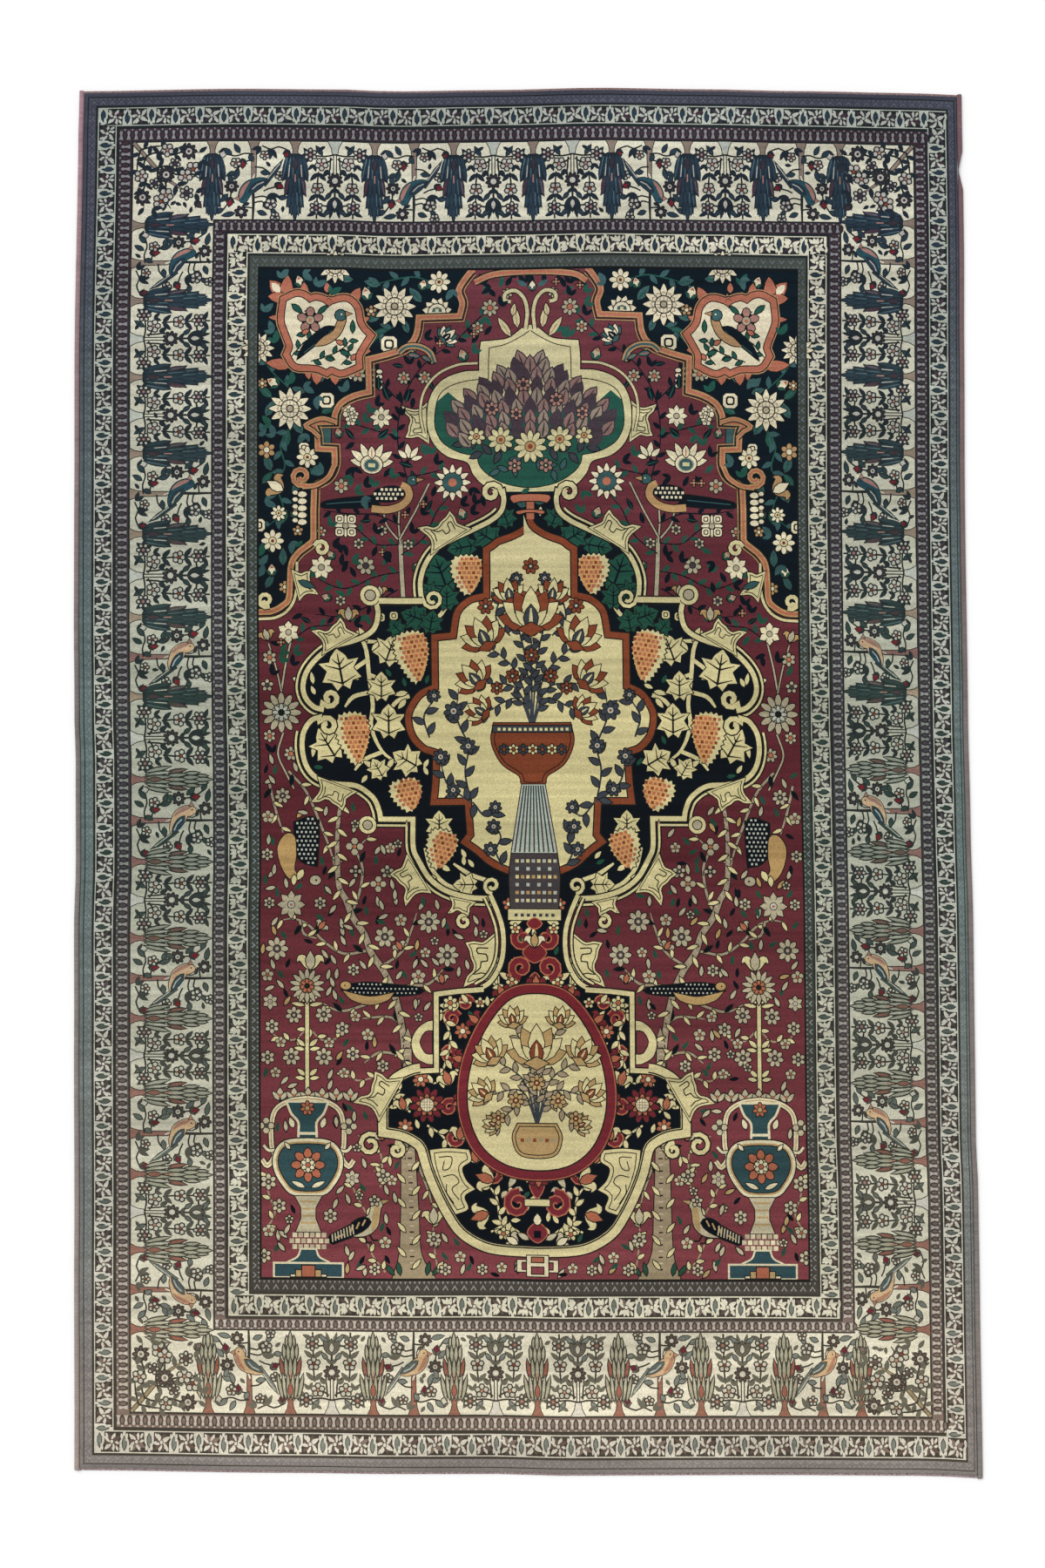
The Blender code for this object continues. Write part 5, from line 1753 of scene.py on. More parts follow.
    def spray(self, c: Motifs, x: float, y: float, arms: Sequence[tuple[float, float, float]],
              leaf: Dye, *petals: Dye) -> None:
        """Draw leafy arms from one point, each with a palmette at its end.

        Args:
            c: The cartoon.
            x: Where the arms start.
            y: Where the arms start.
            arms: Turn in degrees, reach and the palmette's size, for each.
            leaf: Yarn of the leaves.
            petals: The palmette's three yarns.
        """
        for turn, reach, size in arms:
            s, co = math.sin(math.radians(turn)), math.cos(math.radians(turn))
            tip = (x - reach * 0.92 * s, y + reach * co)
            c.sprig([(x, y), (x - reach * 0.28 * s, y + reach * 0.55), tip], Dye.INK, leaf, 8, 12,
                    2.0, start=reach * 0.36)
            c.palmette(*tip, size, turn * 0.8, *petals)

    def shrub(self, c: Motifs) -> None:
        """Draw the shrub in a fluted bowl in the medallion and the palmette spray over it."""
        d, x = Dye, self.axis
        for side in (-1, 1):
            for points, blooms in ((((72, -34), (78, 0), (74, 30), (86, 62), (84, 96)),
                                    ((90, 70, 11), (74, 30, 9))),
                                   (((72, -34), (98, -14), (106, 12)),
                                    ((106, 18, 9), (92, -20, 8))),
                                   (((70, -34), (56, -50), (44, -44)), ((44, -40, 7),)),
                                   (((118, 40), (124, 64), (112, 84)), ((112, 88, 7),)),
                                   (((36, -108), (44, -90), (38, -74), (46, -60)),
                                    ((46, -62, 8), (50, -88, 8))),
                                   (((24, 156), (40, 176), (32, 204), (14, 218)),
                                    ((34, 206, 8), (16, 222, 7)))):
                c.sprig([(x + side * px, y) for px, y in points], d.INK, d.INK, 13, 15, 2.2)
                for px, y, r in blooms:
                    c.daisy(x + side * px, y, r, 7, d.INK, d.SMOKE, d.RUST)
        self.spray(c, x, 50, ((74, 62, 22), (-74, 62, 22), (52, 84, 28), (-52, 84, 28),
                              (30, 112, 32), (-30, 112, 32), (10, 150, 24), (-10, 150, 24),
                              (0, 118, 44)), d.INK, d.RUST, d.STRAW, d.INK)
        c.each(c.daisy, ((x - 22, 110, 8, 7), (x + 22, 110, 8, 7), (x, 134, 8, 7),
                         (x - 40, 96, 7, 6), (x + 40, 96, 7, 6), (x - 52, 190, 9, 7),
                         (x + 52, 190, 9, 7), (x, 236, 9, 7)), d.RUST, d.INK, d.STRAW)
        bowl = path([(x - 44, 56, 1), (x + 44, 56, 1), (x + 47, 34), (x + 36, 10), (x + 16, -4),
                     (x + 12, -14), (x - 12, -14), (x - 16, -4), (x - 36, 10), (x - 47, 34)], True,
                    5)
        c.contour(bowl, d.RUST, 3)
        c.shape(rectangle(x - 45, 46, x + 45, 53), d.INK)
        c.specks(rectangle(x - 44, 46, x + 44, 53), 6, 1.6, d.STRAW)
        for n in range(7):
            c.daisy(x - 33 + n * 11, 26, 6, 6, d.STRAW if n % 2 else d.INK, d.RUST)
        c.shape([(x - 13, -14), (x + 13, -14), (x + 26, -92), (x - 26, -92)], d.SMOKE)
        for n in range(9):
            share = (n + 0.5) / 9 * 2 - 1
            c.stroke([(x + share * 12, -15), (x + share * 25, -91)], 1.8,
                     d.TEAL if n % 2 else d.INK)
        c.shape(path([(x - 26, -93, 1), (x + 26, -93, 1), (x + 29, -120), (x + 27, -156, 1),
                      (x - 27, -156, 1), (x - 29, -120)], True, 8), d.PLUM)
        for y, dyes in ((-97, (d.STRAW, d.SMOKE)), (-106, (d.SMOKE, d.INK)),
                        (-115, (d.STRAW, d.CAMEL)), (-124, (d.SMOKE, d.INK)),
                        (-133, (d.CAMEL, d.SMOKE)), (-142, (d.STRAW, d.SMOKE))):
            c.specks(rectangle(x - 26, y - 7, x + 26, y), 6.2, 1.9, *dyes)
        c.shape(rectangle(x - 30, -168, x + 30, -156), d.STRAW)
        c.specks(rectangle(x - 28, -166, x + 28, -158), 7, 1.8, d.INK)
        self.thicket(c)

    def thicket(self, c: Motifs) -> None:
        """Draw the thick leafy bush of the top cartouche, with a row of pale flowers under it."""
        d, x = Dye, self.axis
        for side in (-1, 1):
            c.sprig([(x + side * 20, 372), (x + side * 52, 366), (x + side * 82, 384)], d.INK,
                    d.INK, 11, 15, 2.2)
            c.sprig([(x + side * 8, 362), (x + side * 26, 346), (x + side * 44, 350)], d.INK,
                    d.TEAL, 10, 13, 2.2)
        rows = ((478, 14, 2), (468, 32, 5), (456, 52, 8), (444, 70, 10), (432, 84, 12),
                (419, 92, 13), (406, 90, 13), (394, 76, 11))
        for n, (level, reach, count) in enumerate(rows):
            for k in range(count):
                share = (k + 0.5) / count * 2 - 1
                c.leaf(x + share * reach, level - 10 - 12 * share * share, 21, 12.5, share * -42,
                       (d.TRUNK, d.BARK, d.MAROON)[(k + n) % 3], d.PLUM, d.PLUM, 1.5)
        c.each(c.daisy, ((x - 62, 386, 10, 7), (x + 62, 386, 10, 7), (x - 34, 382, 15, 9),
                         (x + 34, 382, 15, 9), (x, 374, 19, 11)), d.STRAW, d.CAMEL, d.RUST)
        c.each(c.daisy, ((x - 18, 352, 8, 6), (x + 18, 352, 8, 6)), d.SALMON, d.PLUM, d.STRAW)
        c.each(c.daisy, ((x - 44, 418, 8, 7), (x + 30, 428, 8, 7), (x - 8, 446, 8, 7),
                         (x + 60, 412, 7, 6), (x - 16, 412, 7, 6)), d.SALMON, d.PLUM)

    def bouquet(self, c: Motifs) -> None:
        """Draw the framed oval of the pendant with a bouquet."""
        d = Dye
        oval = path([(14, -252), (42, -258), (66, -284), (84, -320), (92, -356), (90, -392),
                     (76, -424), (50, -444), (14, -450), (-22, -444), (-48, -424), (-62, -392),
                     (-64, -356), (-56, -320), (-38, -284), (-14, -258)], True, 5)
        lilies = 14
        for k in range(lilies):
            turn = math.radians(k * 360 / lilies + 13)
            c.lily(14 + 86 * math.cos(turn), -350 + 107 * math.sin(turn), 12,
                   math.degrees(turn) - 90, d.RED, d.CORAL)
        c.rings(oval, ((13.4, d.BLACK), (12, d.CORAL), (10.8, d.RED), (1.6, d.BLACK), (0, d.STRAW)))
        self.spray(c, 14, -400, ((90, 50, 16), (-90, 50, 16), (62, 70, 22), (-62, 70, 22),
                                 (36, 92, 26), (-36, 92, 26), (14, 118, 20), (-14, 118, 20),
                                 (0, 74, 40)), d.BARK, d.CAMEL, d.STRAW, d.RUST)
        c.each(c.daisy, ((-10, -372, 9, 7), (38, -372, 9, 7), (14, -352, 9, 7), (-30, -392, 8, 6),
                         (58, -392, 8, 6)), d.CAMEL, d.RUST, d.STRAW)
        c.contour(path([(-8, -398, 1), (36, -398, 1), (42, -414), (32, -434), (-4, -434),
                        (-14, -414)], True, 5), d.CAMEL, 2.6)
        c.specks(rectangle(-10, -420, 38, -412), 7, 2, d.RUST, d.BARK)


# ---------------------------------------------------------------- from cartoon to cloth

def node_corners(node: str) -> np.ndarray:
    """Return the corners of a CAD node's mesh."""
    return np.array([v.co[:] for v in bpy.data.objects[node].data.vertices])


def node_base(node: str) -> np.ndarray:
    """Return x and y of the corners of a CAD node's underside, in metres."""
    verts = node_corners(node)
    return np.unique(verts[verts[:, 2] < 1e-5][:, :2].round(6), axis=0)


def new_piece(name: str, verts: np.ndarray, faces: Sequence[Sequence[int]]) -> bpy.types.Object:
    """Make an object from corners and faces and link it to the scene."""
    mesh = bpy.data.meshes.new(name)
    mesh.from_pydata(verts.tolist(), [], faces)
    piece = bpy.data.objects.new(name, mesh)
    bpy.context.scene.collection.objects.link(piece)
    return piece


class Outline:
    """The rug's real, slightly uneven outline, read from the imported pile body."""

    def __init__(self) -> None:
        """Read the four edges of the pile body's underside."""
        reach = 0.03                           # how far in from the box an edge may wander
        base = node_base("pile_body")
        low, high = base.min(0), base.max(0)
        self.left = self.edge(base[base[:, 0] < low[0] + reach], 1)
        self.right = self.edge(base[base[:, 0] > high[0] - reach], 1)
        self.bottom = self.edge(base[base[:, 1] < low[1] + reach], 0)
        self.top = self.edge(base[base[:, 1] > high[1] - reach], 0)
        self.middle = (low + high) / 2

    @staticmethod
    def edge(points: np.ndarray, axis: int) -> tuple[np.ndarray, np.ndarray]:
        """Sort an edge's points along an axis and return its two coordinates."""
        points = points[np.argsort(points[:, axis])]
        return points[:, axis], points[:, 1 - axis]

    def to_rug(self, knots: np.ndarray) -> np.ndarray:
        """Place cartoon points on the real rug.

        Args:
            knots: Places in knots.

        Returns:
            Places in metres.
        """
        share = knots / (ACROSS, ALONG) + 0.5
        x = knots[:, 0] * KNOT + self.middle[0]
        y = knots[:, 1] * KNOT + self.middle[1]
        for _ in range(2):                     # x depends on y and y on x
            left, right = np.interp(y, *self.left), np.interp(y, *self.right)
            x = left + share[:, 0] * (right - left)
            bottom, top = np.interp(x, *self.bottom), np.interp(x, *self.top)
            y = bottom + share[:, 1] * (top - bottom)
        return np.column_stack([x, y])


class Cut(NamedTuple):
    """A patch of the cartoon cut into triangles of one dye each."""

    points: np.ndarray       # corners, in knots
    faces: np.ndarray        # three corners each, counter-clockwise
    dyes: np.ndarray         # one dye a face


def triangulate(points: np.ndarray, pairs: np.ndarray, low: Point,
                high: Point) -> tuple[np.ndarray, np.ndarray]:
    """Cut a rectangle into triangles along given edges.

    Args:
        points: Places in knots.
        pairs: Edges between them.
        low: Lower left corner of the rectangle.
        high: Its upper right corner.

    Returns:
        Corners, and three of them for each triangle, counter-clockwise.
    """
    nearest, smallest = 1e-4, 1e-7             # closer points merge, thinner triangles go
    verts, _, faces, *_ = delaunay_2d_cdt([Vector(p) for p in points.tolist()], pairs.tolist(),
                                          [], 0, nearest, False)
    verts, faces = np.array([v[:] for v in verts]), np.array(faces)
    middles = verts[faces].mean(1)
    faces = faces[((middles > low) & (middles < high)).all(1)]
    one, two, three = (verts[faces[:, k]] for k in range(3))
    turn = (two - one)[:, 0] * (three - one)[:, 1] - (two - one)[:, 1] * (three - one)[:, 0]
    faces[turn < 0] = faces[turn < 0][:, ::-1]
    used, faces = np.unique(faces[np.abs(turn) > smallest], return_inverse=True)
    return verts[used], faces.reshape(-1, 3)


def thinned(line: np.ndarray, slack: float) -> list[int]:
    """Return which points of a line to keep, so that no other lies further off than slack."""
    keep, todo = {0, len(line) - 1}, [(0, len(line) - 1)]
    while todo:
        a, b = todo.pop()
        if b - a < 2:
            continue
        along, inner = line[b] - line[a], line[a + 1:b] - line[a]
        length = math.hypot(*along)
        off = (np.abs(along[0] * inner[:, 1] - along[1] * inner[:, 0]) / length if length > THIN
               else np.hypot(*inner.T))
        worst = int(off.argmax())
        if off[worst] > slack:
            keep.add(a + 1 + worst)
            todo += [(a, a + 1 + worst), (a + 1 + worst, b)]
    return sorted(keep)


def sides_of(faces: np.ndarray) -> np.ndarray:
    """Return the three edges of each triangle: all the first ones, then the second and third."""
    return np.vstack([faces[:, [0, 1]], faces[:, [1, 2]], faces[:, [2, 0]]])


def seams(points: np.ndarray, faces: np.ndarray, dyes: np.ndarray, slack: float,
          longest: float) -> tuple[np.ndarray, np.ndarray]:
    """Return the lines between two dyes, without needless points.

    Args:
        points: Corners of a cut patch.
        faces: Its triangles.
        dyes: Their dyes.
        slack: How far a line may move, in knots.
        longest: Longest edge to leave.

    Returns:
        Points, and the edges between them.
    """
    # the edges with one owner, or with two owners of different dyes
    edges = np.sort(sides_of(faces), 1)
    owner = np.tile(np.arange(len(faces)), 3)
    order = np.lexsort((edges[:, 1], edges[:, 0]))
    edges, owner = edges[order], owner[order]
    same = (edges[:-1] == edges[1:]).all(1)
    show = np.ones(len(edges), bool)
    show[1:][same] = False
    alike = dyes[owner[:-1]] == dyes[owner[1:]]
    show[:-1][same & alike] = False
    # chains of such edges, from one fork to the next or round in a ring
    mates: dict[int, list[int]] = {}
    for a, b in edges[show].tolist():
        mates.setdefault(a, []).append(b)
        mates.setdefault(b, []).append(a)
    knots = [v for v, near in mates.items() if len(near) != 2]
    done: set[tuple[int, int]] = set()
    chains = []
    for start in knots + list(mates):
        for step in mates[start]:
            if (start, step) in done:
                continue
            chain = [start, step]
            while len(mates[chain[-1]]) == 2 and chain[-1] != start:
                one, other = mates[chain[-1]]
                chain.append(other if one == chain[-2] else one)
            done.update(zip(chain, chain[1:]))
            done.update(zip(chain[1:], chain))
            chains.append(chain)
    # the same chains with only the points that they need
    out, pairs, names = [], [], {}
    for chain in chains:
        line = points[chain]
        kept = thinned(line, slack)
        if chain[0] == chain[-1] and len(kept) < 4:
            kept = list(range(0, len(chain) - 1, max(1, len(chain) // 5))) + [len(chain) - 1]
        places = [names.setdefault(chain[0], len(out))]
        if places[0] == len(out):
            out.append(line[0])
        for a, b in zip(kept, kept[1:]):
            parts = max(1, math.ceil(math.dist(line[a], line[b]) / longest))
            for part in range(1, parts):
                out.append(line[a] + (line[b] - line[a]) * part / parts)
                places.append(len(out) - 1)
            places.append(names.setdefault(chain[b], len(out)))
            if places[-1] == len(out):
                out.append(line[b])
        pairs += zip(places, places[1:])
    return np.array(out), np.array(pairs)


def cut_patch(shapes: Sequence[Shape], low: Point, high: Point, grid: float,
              rims: Sequence[np.ndarray] = ()) -> Cut:
    """Cut a rectangle of the cartoon along the seams between its dyes.

    Args:
        shapes: Shapes in painting order.
        low: The rectangle's lower left corner, in knots.
        high: Its upper right corner.
        grid: Spacing of extra points, which keeps triangles compact.
        rims: Extra lines to cut along.

    Returns:
        The cut patch.
    """
    slack, shortest = 0.16, 0.02               # how far a seam may move, the least edge, in knots
    near = [s for s in shapes if s.low[0] < high[0] and s.high[0] > low[0]
            and s.low[1] < high[1] and s.high[1] > low[1]]
    starts = np.vstack([s.loop for s in near])
    ends = np.vstack([np.roll(s.loop, -1, 0) for s in near])
    keep = ((np.minimum(starts, ends) < high).all(1) & (np.maximum(starts, ends) > low).all(1)
            & (np.abs(starts - ends).max(1) > shortest))
    sides = rectangle(*low, *high)
    starts = np.vstack([starts[keep], sides])
    ends = np.vstack([ends[keep], np.roll(sides, -1, 0)])
    points, index = np.unique(np.vstack([starts, ends]).round(2), axis=0, return_inverse=True)
    pairs = np.unique(np.sort(index.reshape(2, -1).T, 1), axis=0)
    points, faces = triangulate(points, pairs[pairs[:, 0] != pairs[:, 1]], low, high)
    dyes = top_dyes(near, points[faces].mean(1))
    points, pairs = seams(points, faces, dyes, slack, grid)
    ticks = [np.linspace(a, b, max(3, round((b - a) / grid)))[1:-1] for a, b in zip(low, high)]
    points = np.vstack([points, np.stack(np.meshgrid(*ticks), -1).reshape(-1, 2)])
    for rim in rims:
        inner = len(points) + np.arange(len(rim))
        pairs = np.vstack([pairs, np.column_stack([inner[:-1], inner[1:]])])
        points = np.vstack([points, rim])
    points, faces = triangulate(points, pairs, low, high)
    return Cut(points, faces, np.maximum(top_dyes(near, points[faces].mean(1)), 0))


def rim_loop(faces: np.ndarray) -> list[int]:
    """Chain the open edges of a patch into one loop of corners."""
    known = set(map(tuple, sides_of(faces).tolist()))
    after = {a: b for a, b in known if (b, a) not in known}
    first = next(iter(after))
    loop = [first]
    while after[loop[-1]] != first:
        loop.append(after[loop[-1]])
    return loop


@dataclass
class Slab:
    """A closed slab of cloth with the cartoon cut into one of its faces.

    Args:
        name: Name of the piece.
        cut: The cut patch.
        face_z: Height of the cut face at each of its corners, in metres.
        back_z: Height of the plain face.
    """

    name: str
    cut: Cut
    face_z: np.ndarray
    back_z: float

    def build(self, outline: Outline, pale: float) -> bpy.types.Object:
        """Build the slab.

        Args:
            outline: The rug's real outline.
            pale: Share of undyed warp that shows between the knots, 0 on the pile.

        Returns:
            The finished piece.
        """
        points, faces, dyes = self.cut
        upward = self.face_z.mean() > self.back_z
        rim = rim_loop(faces)
        place = outline.to_rug(points)
        count = len(points)
        back = {corner: count + k for k, corner in enumerate(rim)}
        verts = np.vstack([np.column_stack([place, self.face_z]),
                           np.column_stack([place[rim], np.full(len(rim), self.back_z)])])
        after = rim[1:] + rim[:1]
        walls = [(b, a, back[a], back[b]) for a, b in zip(rim, after)]
        polygons = faces.tolist() + walls + [[back[corner] for corner in rim[::-1]]]
        if not upward:
            polygons = [list(p)[::-1] for p in polygons]
        piece = new_piece(self.name, verts, polygons)
        edge_dye = {}
        for (a, b, c), dye in zip(faces.tolist(), dyes.tolist()):
            edge_dye[a, b] = edge_dye[b, c] = edge_dye[c, a] = dye
        face_dyes = np.concatenate([dyes, [edge_dye[a, b] for a, b in zip(rim, after)], [dyes[0]]])
        self.dye(piece.data, face_dyes, np.concatenate([points[:, 1], points[rim][:, 1]]), pale)
        self.lay_out(piece.data, points, rim, len(faces))
        return piece

    @staticmethod
    def corners(mesh: bpy.types.Mesh) -> np.ndarray:
        """Return the vertex of each face corner."""
        corners = np.empty(len(mesh.loops), int)
        mesh.loops.foreach_get("vertex_index", corners)
        return corners

    def dye(self, mesh: bpy.types.Mesh, dyes: np.ndarray, heights: np.ndarray, pale: float) -> None:
        """Store each face's yarn colour in the mesh.

        Args:
            mesh: The slab's mesh.
            dyes: Index of each face's dye.
            heights: Cartoon y of each vertex, in knots.
            pale: Share of undyed warp between the knots.
        """
        totals = np.empty(len(mesh.polygons), int)
        mesh.polygons.foreach_get("loop_total", totals)
        corners = self.corners(mesh)
        colors = np.ones((len(corners), 4))
        colors[:, :3] = faded(np.repeat(dyes, totals), heights[corners])
        colors[:, :3] += (np.array(srgb(PALE_WARP)) - colors[:, :3]) * pale
        layer = mesh.color_attributes.new("yarn", "FLOAT_COLOR", "CORNER")
        layer.data.foreach_set("color", colors.ravel())

    def lay_out(self, mesh: bpy.types.Mesh, points: np.ndarray, rim: list[int], faces: int) -> None:
        """Lay the cut face flat over the UV square, and the rest in a strip below it.

        Args:
            mesh: The slab's mesh: first the cut face, then its walls, then the plain face.
            points: Corners of the cut face, in knots.
            rim: Which of them go round its edge.
            faces: How many triangles the cut face has.
        """
        below, wall, back, small = 0.06, 0.02, 0.026, 0.03   # heights in the square, and a scale
        low, high = points.min(0), points.max(0)
        uv = (np.vstack([points, points[rim]]) - low) / (high - low)
        uv[:, 1] = below + (1 - below) * uv[:, 1]
        spots = uv[self.corners(mesh)]
        walls = slice(faces * 3, faces * 3 + len(rim) * 4)
        around = np.linspace(0, 1, len(rim) + 1)
        strip = np.array([[(b, wall), (a, wall), (a, 0.0), (b, 0.0)]
                          for a, b in zip(around, around[1:])])
        if self.face_z.mean() < self.back_z:
            strip = strip[:, ::-1]
        spots[walls] = strip.reshape(-1, 2)
        spots[walls.stop:] = (spots[walls.stop:] - (0, below)) * small + (0, back)
        mesh.uv_layers.new(name="OFBake").data.foreach_set("uv", spots.ravel())


@dataclass
class Pile:
    """The knotted pile, made in tiles that join without a gap.

    Args:
        columns: Tiles across the rug.
        rows: Tiles along the rug.
        low: Height of the foundation under the pile, in metres.
        top: Height of the clipped tufts.
        shoulder: Rounding of the pile along its rim.
        worn: How much lower the pile is where it is worn.
        grid: Spacing of extra mesh points, in knots.
    """

    columns: int = 3
    rows: int = 5
    low: float = 0.0018
    top: float = 0.0060
    shoulder: float = 0.0016
    worn: float = 0.00024
    grid: float = 22.0

    def heights(self, points: np.ndarray) -> np.ndarray:
        """Return the height of the tufts, which the wear of the pile varies a little."""
        gap = np.minimum(ACROSS / 2 - np.abs(points[:, 0]), ALONG / 2 - np.abs(points[:, 1])) * KNOT
        inward = np.clip(self.shoulder - gap, 0, self.shoulder)
        wear = self.worn / 2 * (np.sin(points[:, 0] / 61) * np.sin(points[:, 1] / 83 + 1) - 1)
        return self.top + wear - self.shoulder + np.sqrt(self.shoulder ** 2 - inward ** 2)

    @staticmethod
    def rim(inset: float) -> np.ndarray:
        """Return a line round the rug, inset knots from the edge of the pile."""
        w, l, points = ACROSS / 2 - inset, ALONG / 2 - inset, 60
        corners = np.array([(-w, -l), (w, -l), (w, l), (-w, l), (-w, -l)])
        sides = [np.linspace(a, b, points)[:-1] for a, b in zip(corners, corners[1:])]
        return np.vstack(sides + [corners[-1:]])

    def build(self, cartoon: Cartoon, outline: Outline, finish: "Wool") -> list[bpy.types.Object]:
        """Cut and build every tile.

        Args:
            cartoon: The colour plan.
            outline: The rug's real outline.
            finish: The pile's finish.

        Returns:
            The tiles.
        """
        us = np.linspace(-ACROSS / 2, ACROSS / 2, self.columns + 1)
        vs = np.linspace(-ALONG / 2, ALONG / 2, self.rows + 1)
        material, tiles = finish.make(), []
        rims = [self.rim(inset) for inset in (0.35, self.shoulder / KNOT)]
        for column, (u0, u1) in enumerate(zip(us, us[1:])):
            for row, (v0, v1) in enumerate(zip(vs, vs[1:])):
                cut = cut_patch(cartoon.shapes, (u0, v0), (u1, v1), self.grid, rims)
                name = f"pile_{column + 1}_{row + 1}"
                tile = Slab(name, cut, self.heights(cut.points), self.low).build(outline, 0.0)
                dress(tile, material)
                tiles.append(tile)
                log.info("%s: %d triangles", name, len(cut.faces))
        return tiles


@dataclass
class Foundation:
    """The woven foundation, with the backs of the knots on its underside.

    Args:
        top: Height of its upper face, under the pile, in metres.
        smallest: Shapes below this size, in knots, are lost on the back,
        longest: but for those that are at least this long.
        pale: Share of undyed warp between the knots.
        grid: Spacing of extra mesh points, in knots.
    """

    top: float = Pile.low
    smallest: float = 9.0
    longest: float = 200.0
    pale: float = 0.16
    grid: float = 40.0

    def build(self, cartoon: Cartoon, outline: Outline, finish: "Wool") -> bpy.types.Object:
        """Build the foundation.

        Args:
            cartoon: The colour plan.
            outline: The rug's real outline.
            finish: Its finish.

        Returns:
            The finished sheet.
        """
        shapes = [s for s in cartoon.shapes if (s.high - s.low).min() > self.smallest
                  or (s.high - s.low).max() > self.longest]
        low, high = (-ACROSS / 2, -ALONG / 2), (ACROSS / 2, ALONG / 2)
        cut = cut_patch(shapes, low, high, self.grid)
        slab = Slab("foundation_sheet", cut, np.zeros(len(cut.points)), self.top)
        sheet = slab.build(outline, self.pale)
        dress(sheet, finish.make())
        log.info("foundation_sheet: %d triangles", len(cut.faces))
        return sheet


@dataclass
class SideCord:
    """One overcast side cord.

    Args:
        node: CAD node that it replaces.
        sign: -1 on the left and 1 on the right.
        width: Width of the cord, in metres. Not used.
        thickness: Its thickness.
        pitch: Spacing of the wraps.
        groove: Depth between two wraps.
        lean: How far a wrap runs along the cord as it crosses it.
        crown_steps: Points across the round top.
        waist: Height of the widest place, as a share of the thickness.
        foot: Half the width of the flat underside, as a share of the width.
    """

    node: str
    sign: int
    width: float = 0.0087
    thickness: float = 0.0056
    pitch: float = 0.0016
    groove: float = 0.0005
    lean: float = 0.0013
    crown_steps: int = 6
    waist: float = 0.42
    foot: float = 0.30

    def path_edges(self) -> tuple[np.ndarray, np.ndarray, np.ndarray]:
        """Read y, the left and the right edge all along the cord from its CAD node."""
        ring_gap = 0.006                       # corners of one ring lie closer along the cord
        verts = node_corners(self.node)
        verts = verts[np.argsort(verts[:, 1])]
        rings = np.split(verts, np.flatnonzero(np.diff(verts[:, 1]) > ring_gap) + 1)
        return (np.array([ring[:, 1].mean() for ring in rings]),
                np.array([ring[:, 0].min() for ring in rings]),
                np.array([ring[:, 0].max() for ring in rings]))

    def build(self, finish: "Overcast") -> bpy.types.Object:
        """Build the cord with its wraps.

        Args:
            finish: Its finish.

        Returns:
            The finished cord.
        """
        y, low, high = self.path_edges()
        wraps = round((y[-1] - y[0]) / self.pitch)
        profile = np.array([0.0, 0.9, 0.9])    # one wrap: its groove and its crest
        places = np.linspace(y[0], y[-1], wraps * len(profile) + 1)
        height = np.tile(profile, wraps + 1)[:len(places)]
        left, right = np.interp(places, y, low), np.interp(places, y, high)
        turn = np.linspace(0, math.pi, self.crown_steps)
        across = np.concatenate([[self.foot], np.cos(turn) * 0.5, [-self.foot]])
        waist = self.thickness * self.waist
        up = np.concatenate([[0], waist + (self.thickness - waist) * np.sin(turn), [0]])
        rings = []
        for place, level, x0, x1 in zip(places, height, left, right):
            middle, dip = (x0 + x1) / 2, self.groove * (1 - level)
            w, h = (x1 - x0) - 2 * dip, 1 - dip / self.thickness
            slant = np.clip(place + across * self.lean * self.sign, y[0], y[-1])
            rings.append(np.column_stack([middle + across * w, slant, up * h]))
        return self.skin(rings, finish)

    def skin(self, rings: list[np.ndarray], finish: "Overcast") -> bpy.types.Object:
        """Join the cord's rings into a closed skin."""
        size = len(rings[0])
        faces = [(r * size + k, r * size + (k + 1) % size, (r + 1) * size + (k + 1) % size,
                  (r + 1) * size + k) for r in range(len(rings) - 1) for k in range(size)]
        last = (len(rings) - 1) * size
        faces += [tuple(range(size))[::-1], tuple(range(last, last + size))]
        piece = new_piece(self.node + "_cord", np.vstack(rings), faces)
        dress(piece, finish.make())
        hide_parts(self.node)
        log.info("%s: %d faces", piece.name, len(faces))
        return piece


